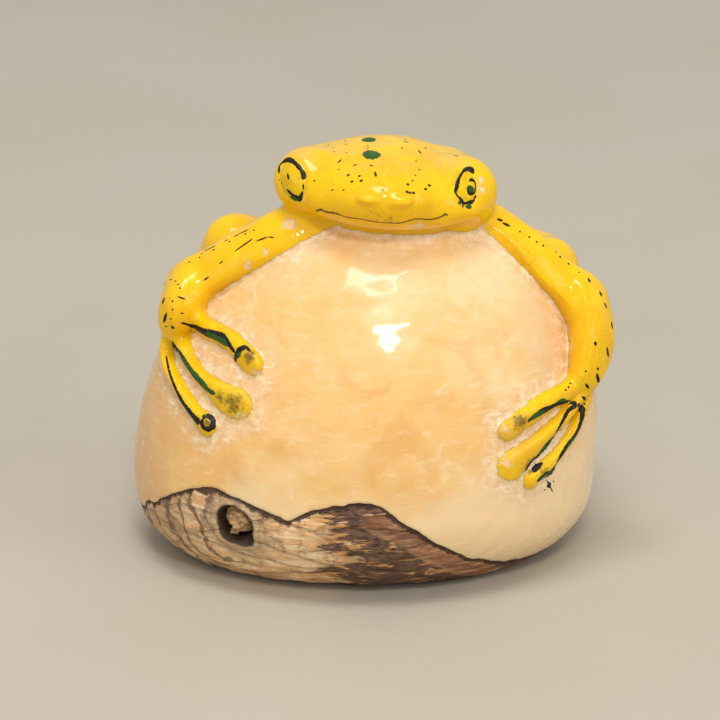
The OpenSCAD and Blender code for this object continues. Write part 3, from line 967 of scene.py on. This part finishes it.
LEFT_HAND_INK = [
    ([(22.8, -4.7), (21.9, -4.5), (20.9, -4.65), (20.0, -5.1), (19.0, -5.6), (17.9, -6.3), (17.5, -6.7)],
     (0.26, 0.22, 0.24, 0.26, 0.3, 0.26, 0.1)),
    ([(22.8, -4.8), (21.9, -5.4), (21.3, -6.5), (20.5, -7.9), (19.7, -8.8), (18.8, -10.0),
      (17.9, -10.9), (17.2, -12.0)], (0.24, 0.16, 0.15, 0.14, 0.16, 0.18, 0.24, 0.12)),
    ([(22.9, -4.7), (23.4, -5.5), (23.2, -6.8), (22.6, -8.1), (21.7, -9.3), (20.9, -10.6), (20.5, -11.3)],
     (0.3, 0.26, 0.2, 0.2, 0.2, 0.22, 0.2)),
    ([(20.5, -11.2), (20.0, -11.9), (19.2, -12.5), (18.5, -13.0)], (0.2, 0.3, 0.3, 0.16)),
    ([(18.1, -12.0), (18.4, -11.5), (19.1, -11.0)], (0.24, 0.34, 0.16)),
    ([(20.8, -7.6), (21.2, -7.35)], (0.1, 0.13)),
    blob((19.8, -13.4), 0.3, 0.26, 30),
    blob((19.35, -13.9), 0.1, 0.07, 20),
    blob((20.3, -13.0), 0.08, 0.08),
    blob((20.2, -13.95), 0.06, 0.06),
    ([(19.5, -12.8), (19.85, -13.4), (20.2, -14.2)], (0.03, 0.06, 0.1, 0.05, 0.03))]
LEFT_HAND_GREEN = [
    ([(19.4, -5.4), (18.6, -5.85), (17.7, -6.4)], (0.14, 0.26, 0.2)),
    ([(21.8, -4.35), (21.2, -4.3), (20.6, -4.55)], (0.08, 0.16, 0.1)),
    ([(20.1, -8.5), (19.4, -9.3), (18.6, -10.2)], (0.12, 0.24, 0.16)),
    ([(20.4, -11.6), (19.6, -12.25), (18.7, -12.9)], (0.14, 0.28, 0.2)),
    ([(22.7, -8.0), (22.0, -9.0), (21.5, -9.8)], (0.06, 0.12, 0.06))]


# The left arm's dashes are this much wider than the right arm's
LEFT_PEN = 1.8
BACK_SPECKS = 46
# The seed of the first stroke's ragged edge; each later stroke has the next one
FIRST_SEED = 101


def back_marks():
    """Specks scattered over the frog's back, and a few larger spots down its spine, as short strokes."""
    rng = np.random.default_rng(31)
    specks, spots = [], []
    for _ in range(BACK_SPECKS):
        k = int(rng.uniform(0.22, 0.86) * len(trunk.centre))
        turn, size = rng.uniform(-1.05, 1.05), rng.uniform(0.10, 0.2)
        reach = trunk.along[k] * size * rng.uniform(1.0, 2.6)
        specks.append(oval_stroke(trunk.skin_at(k, turn), reach, size))
    for share in (0.3, 0.5, 0.7):
        k = int(share * len(trunk.centre))
        spots.append(oval_stroke(trunk.skin_at(k), trunk.along[k] * 0.85, 0.7))
    return specks, spots


def make_ink():
    """Every hand-drawn mark, as thin raised films, by the name of its piece."""
    black, brown, sepia, green = [], [], [], []
    jobs = [(brown, *blob(spot, 0.13, 0.11, 20)) for spot in HEAD_SPECKS]
    jobs += [(brown, *blob(spot, 0.19, 0.20)) for spot in HEAD_DOTS]
    jobs += [(brown, line, (0.09, 0.14, 0.10)) for line in HEAD_DASHES]
    jobs += [(sepia, MOUTH, (0.11, 0.15, 0.08, 0.09, 0.08, 0.08, 0.10, 0.08, 0.09, 0.13))]
    for side in ("right", "left"):
        pen = 1.0 if side == "right" else LEFT_PEN
        jobs += [(black, line, (0.05 * pen, 0.10 * pen, 0.07 * pen)) for line in ARM_DASHES[side]]
        jobs += [(black, *blob(spot, 0.12, 0.12)) for spot in ARM_DOTS[side]]
        jobs += [(black, line, (0.12, 0.24, 0.14)) for line in ELBOW_DASHES[side]]
    for line, half in RIGHT_EYE_INK + LEFT_EYE_INK + RIGHT_HAND_INK + LEFT_HAND_INK:
        jobs.append((black, line, [BOLD * width for width in half]))
    for line, half in RIGHT_HAND_GREEN + LEFT_HAND_GREEN:
        jobs.append((green, line, [BOLD * width for width in half]))
    for middle, rx, ry, lean in GREEN_BLOBS:
        jobs.append((green, *blob(middle, rx, ry, lean)))
    specks, spots = back_marks()
    jobs += [(brown, *mark) for mark in specks]
    jobs += [(green, *mark) for mark in spots]
    for seed, (group, line, half) in enumerate(jobs, FIRST_SEED):
        group.append(pen_line(line, half, seed))
    return {"ink_black": ink_piece("ink_black", black, INK_HIGH),
            "ink_brown": ink_piece("ink_brown", brown, INK_HIGH),
            "ink_sepia": ink_piece("ink_sepia", sepia, INK_HIGH),
            "ink_green": ink_piece("ink_green", green, INK_HIGH + GREEN_OVER)}


# ---------------- materials


def rgb(red, green, blue):
    """A screen colour, each part from 0 to 255, as Blender's linear one."""
    share = np.array([red, green, blue]) / 255
    linear = np.where(share > 0.04045, ((share + 0.055) / 1.055) ** 2.4, share / 12.92)
    return (*linear.tolist(), 1.0)


class Shader:
    """Builds one procedural material, node by node, in millimetres."""

    def __init__(self, name):
        self.material = bpy.data.materials.new(name)
        self.material.use_nodes = True
        self.tree = self.material.node_tree
        self.body = self.tree.nodes["Principled BSDF"]
        place = self.node("ShaderNodeTexCoord").outputs["Object"]
        self.place = self.vector("SCALE", place, scale=1000)

    def node(self, kind, **settings):
        made = self.tree.nodes.new(kind)
        for key, value in settings.items():
            setattr(made, key, value)
        return made

    def feed(self, socket, value):
        if isinstance(value, bpy.types.NodeSocket):
            self.tree.links.new(value, socket)
        else:
            socket.default_value = value

    def vector(self, operation, a, b=None, scale=None):
        made = self.node("ShaderNodeVectorMath", operation=operation)
        self.feed(made.inputs[0], a)
        if b is not None:
            self.feed(made.inputs[1], b)
        if scale is not None:
            made.inputs["Scale"].default_value = scale
        return made.outputs[0]

    def stretched(self, x, y, z):
        return self.vector("MULTIPLY", self.place, (x, y, z))

    def noise(self, size, detail=3.0, rough=0.55, bend=0.0, place=None):
        """Noise from 0 to 1 whose features are about size millimetres."""
        made = self.node("ShaderNodeTexNoise")
        self.feed(made.inputs["Vector"], self.place if place is None else place)
        made.inputs["Scale"].default_value = 1 / size
        made.inputs["Detail"].default_value = detail
        made.inputs["Roughness"].default_value = rough
        made.inputs["Distortion"].default_value = bend
        return made.outputs[0]

    def cells(self, size, feature="F1", place=None):
        made = self.node("ShaderNodeTexVoronoi", feature=feature)
        self.feed(made.inputs["Vector"], self.place if place is None else place)
        made.inputs["Scale"].default_value = 1 / size
        return made.outputs["Distance"]

    def stored(self, name):
        """What dress() stored at the mesh's points."""
        return self.node("ShaderNodeAttribute", attribute_name=name).outputs["Fac"]

    def part(self, axis):
        made = self.node("ShaderNodeSeparateXYZ")
        self.feed(made.inputs[0], self.place)
        return made.outputs[axis]

    def sum(self, *terms):
        total = terms[0]
        for term in terms[1:]:
            total = self.math("ADD", total, term)
        return total

    def times(self, a, b):
        return self.math("MULTIPLY", a, b)

    def math(self, operation, a, b=0.0, c=0.0):
        made = self.node("ShaderNodeMath", operation=operation)
        for socket, value in zip(made.inputs, (a, b, c)):
            self.feed(socket, value)
        return made.outputs[0]

    def between(self, value, low, high, start=0.0, end=1.0):
        """Goes smoothly from start to end as value goes from low to high."""
        made = self.node("ShaderNodeMapRange", interpolation_type="SMOOTHSTEP")
        for socket, number in zip(made.inputs, (value, low, high, start, end)):
            self.feed(socket, number)
        return made.outputs[0]

    def mix(self, share, a, b, mode="MIX"):
        made = self.node("ShaderNodeMix", data_type="RGBA", blend_type=mode)
        self.feed(made.inputs["Factor"], share)
        self.feed(made.inputs[6], a)
        self.feed(made.inputs[7], b)
        return made.outputs[2]

    def tint(self, colour, tone, share, strength):
        """Moves a colour towards a tone, by strength where share is 1."""
        return self.mix(self.times(share, strength), colour, tone)

    def mix_value(self, share, a, b):
        made = self.node("ShaderNodeMix", data_type="FLOAT")
        for socket, value in zip((made.inputs[0], made.inputs[2], made.inputs[3]), (share, a, b)):
            self.feed(socket, value)
        return made.outputs[0]

    def bump(self, height, distance, under=None):
        """Tilts the surface by height (0 to 1), which stands distance millimetres tall."""
        made = self.node("ShaderNodeBump")
        self.feed(made.inputs["Height"], height)
        made.inputs["Distance"].default_value = distance * MM
        if under is not None:
            self.feed(made.inputs["Normal"], under)
        return made.outputs[0]

    def set(self, **values):
        """Sets or links the main shader's sockets, with _ for each space in a socket's name."""
        for key, value in values.items():
            self.feed(self.body.inputs[key.replace("_", " ")], value)


def ivory_colour(s):
    """Polished vegetable ivory: honey in the thick middle, cream where it is scraped, with painted light
    towards the right and the crown and painted shade towards the left.
    """
    cloud = s.noise(9, 3, 0.5, 0.6)
    grain = s.noise(1.6, 4, 0.6, place=s.stretched(0.5, 0.5, 1.6))
    honey = s.mix(s.between(cloud, 0.35, 0.7), rgb(243, 196, 124), rgb(238, 186, 108))
    colour = s.mix(s.between(grain, 0.45, 0.8, 0, 0.35), honey, rgb(250, 214, 154))
    hazy = s.times(s.between(s.noise(4.2, 5, 0.62, 0.8), 0.56, 0.72),
                  s.between(s.noise(1.0, 3, 0.6), 0.35, 0.6))
    colour = s.tint(colour, rgb(252, 228, 186), hazy, 0.6)
    x, z = s.part("X"), s.part("Z")
    amber = s.times(s.between(s.noise(5.5, 4, 0.6, 1.0), 0.5, 0.66), s.between(z, 33, 27))
    colour = s.tint(colour, rgb(230, 172, 96), amber, 0.5)
    # Pale mask: paler towards the right and towards the crown is partly painted light from the right and
    # from above and partly the nut's own cream; less pale towards the left is painted shade; paler below z
    # 19 is the nut's own cream
    pale = s.sum(s.between(x, 6, 20, 0, 0.5), s.between(z, 19, 9, 0, 0.8), s.between(z, 26, 35, 0, 0.55))
    pale = s.sum(pale, s.between(x, -12, -22, 0, -0.8))
    pale = s.sum(pale, s.between(s.noise(5, 3, 0.5), 0.3, 0.7, -0.25, 0.25))
    colour = s.mix(s.between(pale, 0.1, 1.0), colour, rgb(246, 214, 164))
    right = s.times(s.between(x, 15, 21), s.between(z, 18, 26))
    colour = s.tint(colour, rgb(226, 182, 134), right, 0.75)
    # Painted shade: the ivory darkens towards the left side, the side turned away from the lights
    painted_left_shade = s.between(s.sum(x, s.between(s.noise(6, 2, 0.5), 0.3, 0.7, -2, 2)), -17, -24, 0, 0.6)
    colour = s.mix(painted_left_shade, colour, rgb(214, 164, 108))
    scraped = s.between(s.stored("paint"), 3.0, 0.5)
    scraped = s.times(scraped, s.between(s.noise(1.8, 4, 0.65), 0.3, 0.6, 0.25, 1.0))
    rough_tone = s.mix(s.between(s.noise(0.8, 4, 0.7), 0.42, 0.6), rgb(230, 188, 140), rgb(250, 224, 186))
    colour = s.tint(colour, rough_tone, scraped, 0.8)
    shave = s.noise(0.7, 4, 0.65, 0.3, place=s.stretched(0.35, 0.35, 1.5))
    shave = s.times(s.between(shave, 0.54, 0.7), s.between(s.stored("paint"), 4.2, 1.2))
    colour = s.tint(colour, rgb(255, 234, 204), shave, 0.75)
    pits = s.between(s.cells(2.3), 0.10, 0.03)
    pits = s.times(pits, s.between(s.noise(6, 2, 0.5), 0.5, 0.62))
    return s.tint(colour, rgb(255, 240, 214), pits, 0.7)


def paint_colour(s):
    """Brushed yellow paint: lemon where thick, darker orange in the hollows as painted shade, lighter on the
    ridges as painted light, ivory through the thin places.
    """
    streak = s.noise(1.5, 4, 0.6, 0.4, place=s.stretched(1.6, 0.7, 0.7))
    cloud = s.noise(4.5, 3, 0.5, 0.3)
    colour = s.mix(s.between(cloud, 0.35, 0.68), rgb(248, 198, 6), rgb(240, 184, 4))
    colour = s.mix(s.between(streak, 0.5, 0.78, 0, 0.55), colour, rgb(252, 212, 40))
    hollow = s.stored("hollow")
    # Painted shade: darker orange paint in the hollows, where the carving shades itself
    colour = s.mix(s.between(hollow, 0.1, 0.85, 0, 0.3), colour, rgb(238, 174, 8))
    # Painted light: lighter lemon paint on the ridges, which catch more of the light
    colour = s.mix(s.between(hollow, -0.06, -0.3, 0, 0.35), colour, rgb(252, 210, 48))
    pale = s.times(s.stored("pale"), s.between(s.noise(1.3, 4, 0.6), 0.3, 0.6, 0.35, 0.9))
    colour = s.mix(pale, colour, rgb(238, 190, 84))
    olive = s.times(s.between(s.noise(2.6, 4, 0.6, 0.5), 0.6, 0.78), 0.35)
    return s.mix(olive, colour, rgb(196, 156, 22))


def carved_material(name, on_frog):
    """Ivory and paint share one material, so that the paint's edge is as ragged as a brush leaves it."""
    s = Shader(name)
    edge = s.sum(s.stored("paint"), s.between(s.noise(0.8, 4, 0.65), 0.2, 0.8, -0.22, 0.22),
                 s.between(s.noise(0.22, 2, 0.6), 0.25, 0.75, -0.10, 0.10))
    share = s.between(edge, 0.03, -0.03)
    thin = s.between(s.noise(3.0, 5, 0.66, 0.7), 0.66, 0.72)
    thin = s.times(thin, s.between(s.stored("hollow"), -0.02, -0.16))
    share = s.times(share, s.between(thin, 0, 1, 1, 0.5))
    worn = s.sum(s.stored("bare"), s.between(s.noise(0.7, 4, 0.7), 0.25, 0.75, -0.35, 0.35))
    share = s.times(share, s.between(worn, 0.35, 0.62, 1.0, 0.12))
    ivory, paint = ivory_colour(s), paint_colour(s)
    rim = s.times(s.between(edge, 0.16, 0.03), s.between(edge, -0.05, 0.02))
    ivory = s.tint(ivory, rgb(205, 150, 80), rim, 0.5)
    smear = s.sum(s.stored("smudge"), s.between(s.noise(0.45, 4, 0.7), 0.25, 0.75, -0.3, 0.3))
    smear_tone = s.mix(s.between(s.noise(0.5, 2, 0.5), 0.42, 0.58), rgb(78, 56, 14), rgb(104, 96, 22))
    paint = s.mix(s.between(smear, 0.1, 0.9, 0, 0.85), paint, smear_tone)
    colour = s.mix(share, ivory, paint)
    scratch = s.noise(0.5, 2, 0.5, place=s.stretched(2.6, 2.6, 0.16))
    scratch_too = s.noise(0.5, 2, 0.5, place=s.stretched(0.2, 0.5, 2.4))
    polish = s.sum(s.times(scratch, 0.4), s.times(scratch_too, 0.4), s.noise(1.4, 3, 0.5))
    relief = s.bump(polish, 0.025 if on_frog else 0.006)
    relief = s.bump(s.noise(4.5, 2, 0.5), 0.14 if on_frog else 0.06, under=relief)
    relief = s.bump(share, 0.05, under=relief)
    rough = s.between(s.noise(1.2, 4, 0.6), 0.3, 0.7, 0.24, 0.40)
    s.set(Base_Color=colour, Roughness=s.mix_value(share, rough, 0.36), Normal=relief)
    s.set(Subsurface_Weight=0.2, Subsurface_Radius=(1.0, 0.5, 0.2), Subsurface_Scale=0.0012,
          Coat_Weight=0.5 if on_frog else 0.4, Coat_Roughness=0.05,
          Specular_IOR_Level=0.1 if on_frog else 0.45, IOR=1.5)
    return s.material


def coat_material():
    """The nut's dry seed coat: tan with brown ripples by the pore, dark brown with tan streaks in front."""
    s = Shader("husk")
    deep, pore, x = s.stored("coat"), s.stored("pore"), s.part("X")
    fibre = s.noise(1.5, 5, 0.65, 0.5, place=s.stretched(0.4, 0.4, 1.9))
    fine = s.noise(0.4, 4, 0.65, 0.3, place=s.stretched(0.5, 0.5, 1.7))
    dark = s.mix(s.between(fine, 0.35, 0.65), rgb(78, 52, 38), rgb(134, 102, 80))
    dark = s.mix(s.between(s.noise(2.4, 3, 0.6, 0.6), 0.52, 0.66, 0, 0.55), dark, rgb(74, 48, 34))
    dark = s.mix(s.between(s.sum(fibre, s.between(x, 3, -4, 0, 0.07)), 0.57, 0.62), dark, rgb(226, 166, 102))
    tan = s.mix(s.between(fibre, 0.35, 0.65), rgb(255, 224, 176), rgb(236, 184, 128))
    tan = s.mix(s.between(s.noise(2.2, 5, 0.65, 1.0), 0.52, 0.64, 0, 0.5), tan, rgb(146, 110, 82))
    crumb = s.times(s.between(s.noise(0.7, 4, 0.7), 0.6, 0.66), s.between(s.noise(3, 2, 0.5), 0.45, 0.6))
    tan = s.tint(tan, rgb(250, 236, 208), crumb, 0.8)
    rings = s.sum(s.times(pore, 3.0), s.between(s.noise(4.5, 3, 0.55), 0.2, 0.8, 0, 6),
                  s.between(s.noise(1.0, 3, 0.6), 0.2, 0.8, 0, 1.6))
    rings = s.times(s.between(s.math("SINE", rings), 0.5, 0.92), s.between(pore, 0.8, 1.8))
    tan = s.mix(s.times(rings, s.between(x, -9, -15, 0.1, 0.8)), tan, rgb(104, 72, 50))
    tan = s.mix(s.between(x, -15, -22, 0, 0.45), tan, rgb(150, 116, 88))
    fingers = s.noise(2.6, 5, 0.62, 0.4, place=s.stretched(0.22, 0.22, 1.3))
    side = s.sum(x, s.between(fingers, 0.25, 0.75, -7, 7))
    colour = s.mix(s.between(side, -5.6, -3.6), tan, dark)
    halo = s.times(s.between(pore, 2.8, 0.5), s.between(s.noise(1.1, 4, 0.65), 0.3, 0.6, 0.3, 1.0))
    colour = s.tint(colour, rgb(122, 102, 86), halo, 0.65)
    bevel = s.times(s.between(side, -1.5, 2.0), s.between(deep, 3.0, 2.5))
    bevel = s.times(bevel, s.between(deep, 0.4, 0.8))
    russet = s.mix(s.between(fibre, 0.4, 0.6), rgb(146, 96, 64), rgb(196, 144, 104))
    colour = s.tint(colour, russet, bevel, 0.85)
    ridge = s.times(s.between(deep, 2.5, 2.75), s.between(deep, 3.3, 3.0))
    ridge = s.times(ridge, s.between(side, 0, 3))
    colour = s.tint(colour, rgb(196, 150, 112), ridge, 0.5)
    ragged = s.sum(deep, s.between(s.noise(0.9, 4, 0.65), 0.25, 0.75, -0.3, 0.3))
    colour = s.mix(s.between(ragged, 0.75, 0.4, 0, 0.95), colour, rgb(66, 40, 26))
    crack = s.between(s.cells(3.6, "DISTANCE_TO_EDGE", s.stretched(0.35, 0.35, 1.0)), 0.05, 0.015)
    colour = s.tint(colour, rgb(70, 46, 32), crack, 0.3)
    lip = s.times(s.between(pore, 0.95, 0.55), s.between(pore, 0.15, 0.4))
    colour = s.tint(colour, rgb(208, 176, 136), lip, 0.6)
    # Painted shade: the coat goes near-black down the pore's wall, inside the hole
    colour = s.mix(s.between(pore, 0.28, 0.05, 0, 0.95), colour, rgb(46, 33, 24))
    # Painted shade: the coat darkens in its lowest millimetre, where it meets the floor
    colour = s.mix(s.between(s.part("Z"), 1.0, 0.2, 0, 0.75), colour, rgb(60, 42, 30))
    relief = s.bump(fibre, 0.34)
    relief = s.bump(fine, 0.2, under=relief)
    relief = s.bump(s.between(crack, 0, 1, 1, 0), 0.1, under=relief)
    rough = s.between(fine, 0.3, 0.7, 0.4, 0.62)
    s.set(Base_Color=colour, Roughness=rough, Normal=relief, Specular_IOR_Level=0.35)
    return s.material


def eye_material():
    """Glossy yellow enamel over the eye discs, with a green cast and chipped pale edges."""
    s = Shader("eye_paint")
    cloud = s.noise(1.0, 4, 0.6, 0.5)
    colour = s.mix(s.between(cloud, 0.4, 0.7), rgb(232, 190, 10), rgb(212, 164, 4))
    chip = s.between(s.noise(0.7, 3, 0.6), 0.66, 0.72)
    colour = s.tint(colour, rgb(240, 206, 120), chip, 0.5)
    relief = s.bump(s.noise(0.9, 3, 0.5), 0.05)
    s.set(Base_Color=colour, Roughness=0.3, Normal=relief, Coat_Weight=0.3, Coat_Roughness=0.12,
          Specular_IOR_Level=0.15)
    return s.material


def plug_material():
    """The dry remnant in the pore: matt, woody, tan with dark pits."""
    s = Shader("plug")
    grain = s.noise(0.6, 5, 0.65, 0.8, place=s.stretched(1.0, 0.6, 1.6))
    colour = s.mix(s.between(grain, 0.35, 0.65), rgb(168, 126, 84), rgb(222, 182, 132))
    colour = s.mix(s.between(s.cells(0.8), 0.45, 0.15, 0, 0.5), colour, rgb(84, 60, 42))
    s.set(Base_Color=colour, Roughness=0.85, Normal=s.bump(grain, 0.12))
    return s.material


def ink_material(name, colour, faint, rough):
    """Drawn ink: nearly solid, thinner where the pen ran dry."""
    s = Shader(name)
    wear = s.noise(0.35, 3, 0.6)
    s.set(Base_Color=s.mix(s.between(wear, 0.5, 0.78, 0, 0.8), colour, faint), Roughness=rough,
          Normal=s.bump(wear, 0.02), Specular_IOR_Level=0.25)
    return s.material


def floor_material():
    """A plain pale floor with the faintest mottling."""
    s = Shader("floor")
    tone = s.mix(s.between(s.noise(60, 2, 0.5), 0.3, 0.7), rgb(190, 182, 166), rgb(186, 177, 160))
    s.set(Base_Color=tone, Roughness=0.8, Normal=s.bump(s.noise(1.4, 3, 0.6), 0.04))
    return s.material


# ---------------- putting the object together

pieces = make_pieces()
ivory = carved_material("ivory", False)
paint = carved_material("yellow_paint", True)
enamel, husk, plug = eye_material(), coat_material(), plug_material()
looks = {"nut_body": (ivory, "ivory"), "seed_coat": (husk, "husk"),
         "right_eye": (enamel, "eye_paint"), "left_eye": (enamel, "eye_paint")}
for node, obj in pieces.items():
    dress(obj)
    material, slot = looks.get(node, (paint, "yellow_paint"))
    obj.data.materials.clear()
    obj.data.materials.append(material)
    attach(obj, "root")
    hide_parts(node)

remnant = make_plug()
remnant.data.shade_smooth()
remnant.data.materials.append(plug)
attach(remnant, "root")
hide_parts("pore_plug")

# Each ink's colour, its colour where the pen ran dry, and its roughness
INKS = {"ink_black": (rgb(20, 16, 10), rgb(58, 52, 22), 0.42),
        "ink_brown": (rgb(52, 34, 16), rgb(112, 80, 24), 0.42),
        "ink_sepia": (rgb(104, 66, 14), rgb(176, 118, 20), 0.42),
        "ink_green": (rgb(34, 82, 22), rgb(84, 120, 34), 0.35)}
inks = {name: ink_material(name, *look) for name, look in INKS.items()}
for name, obj in make_ink().items():
    obj.data.materials.append(inks[name])
    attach(obj, "root")

# ---------------- camera, floor and light

AIM = Vector((0, 0, AIM_Z))
SENSOR = 36
LENS = 196.14
# The picture is shifted by this share of its width, so that the object stands left of its middle
SHIFT = -1 / 180


def make_camera():
    """A long lens from the front, ELEVATION over the floor."""
    data = bpy.data.cameras.new("camera")
    data.sensor_width = SENSOR
    data.lens = LENS
    data.shift_x = SHIFT
    data.clip_start, data.clip_end = 0.01, 10
    camera = bpy.data.objects.new("camera", data)
    camera.location = (AIM + TO_CAMERA * DISTANCE_MM) * MM
    camera.rotation_euler = (math.pi / 2 - ELEVATION, 0, 0)
    bpy.context.scene.collection.objects.link(camera)
    bpy.context.scene.camera = camera


FLOOR_HALF = 1500


def make_floor():
    """A flat square at the height of the sole."""
    half = FLOOR_HALF
    corners = [(-half, -half, 0), (half, -half, 0), (half, half, 0), (-half, half, 0)]
    floor = mesh_object("floor", corners, [(0, 1, 2, 3)])
    floor.data.materials.append(floor_material())


# The soft lights: place and size in metres, and power in watts
LIGHTS = {"front": ((0.05, -0.50, 0.505), (0.13, 0.07), 1.1),
          "above": ((-0.06, -0.16, 0.78), (0.34, 0.24), 2.6),
          "fill": ((-0.50, -0.50, 0.30), (0.5, 0.4), 0.45),
          "side": ((0.50, -0.40, 0.32), (0.4, 0.4), 0.9)}
WORLD_STRENGTH = 0.55


def area_light(name, place, size, power):
    """A white rectangle of light, turned to the middle of the object."""
    data = bpy.data.lights.new(name, "AREA")
    data.shape = "RECTANGLE"
    data.size, data.size_y = size
    data.energy = power
    lamp = bpy.data.objects.new(name, data)
    lamp.location = place
    lamp.rotation_euler = (AIM * MM - Vector(place)).to_track_quat("-Z", "Y").to_euler()
    bpy.context.scene.collection.objects.link(lamp)


def make_world(strength):
    """Even, nearly white light from all round."""
    world = bpy.data.worlds.new("world")
    world.use_nodes = True
    background = world.node_tree.nodes["Background"]
    background.inputs["Color"].default_value = (1.0, 0.99, 0.97, 1)
    background.inputs["Strength"].default_value = strength
    bpy.context.scene.world = world


make_camera()
make_floor()
for name, (place, span, power) in LIGHTS.items():
    area_light(name, place, span, power)
make_world(WORLD_STRENGTH)
bpy.context.scene.view_settings.view_transform = "Standard"
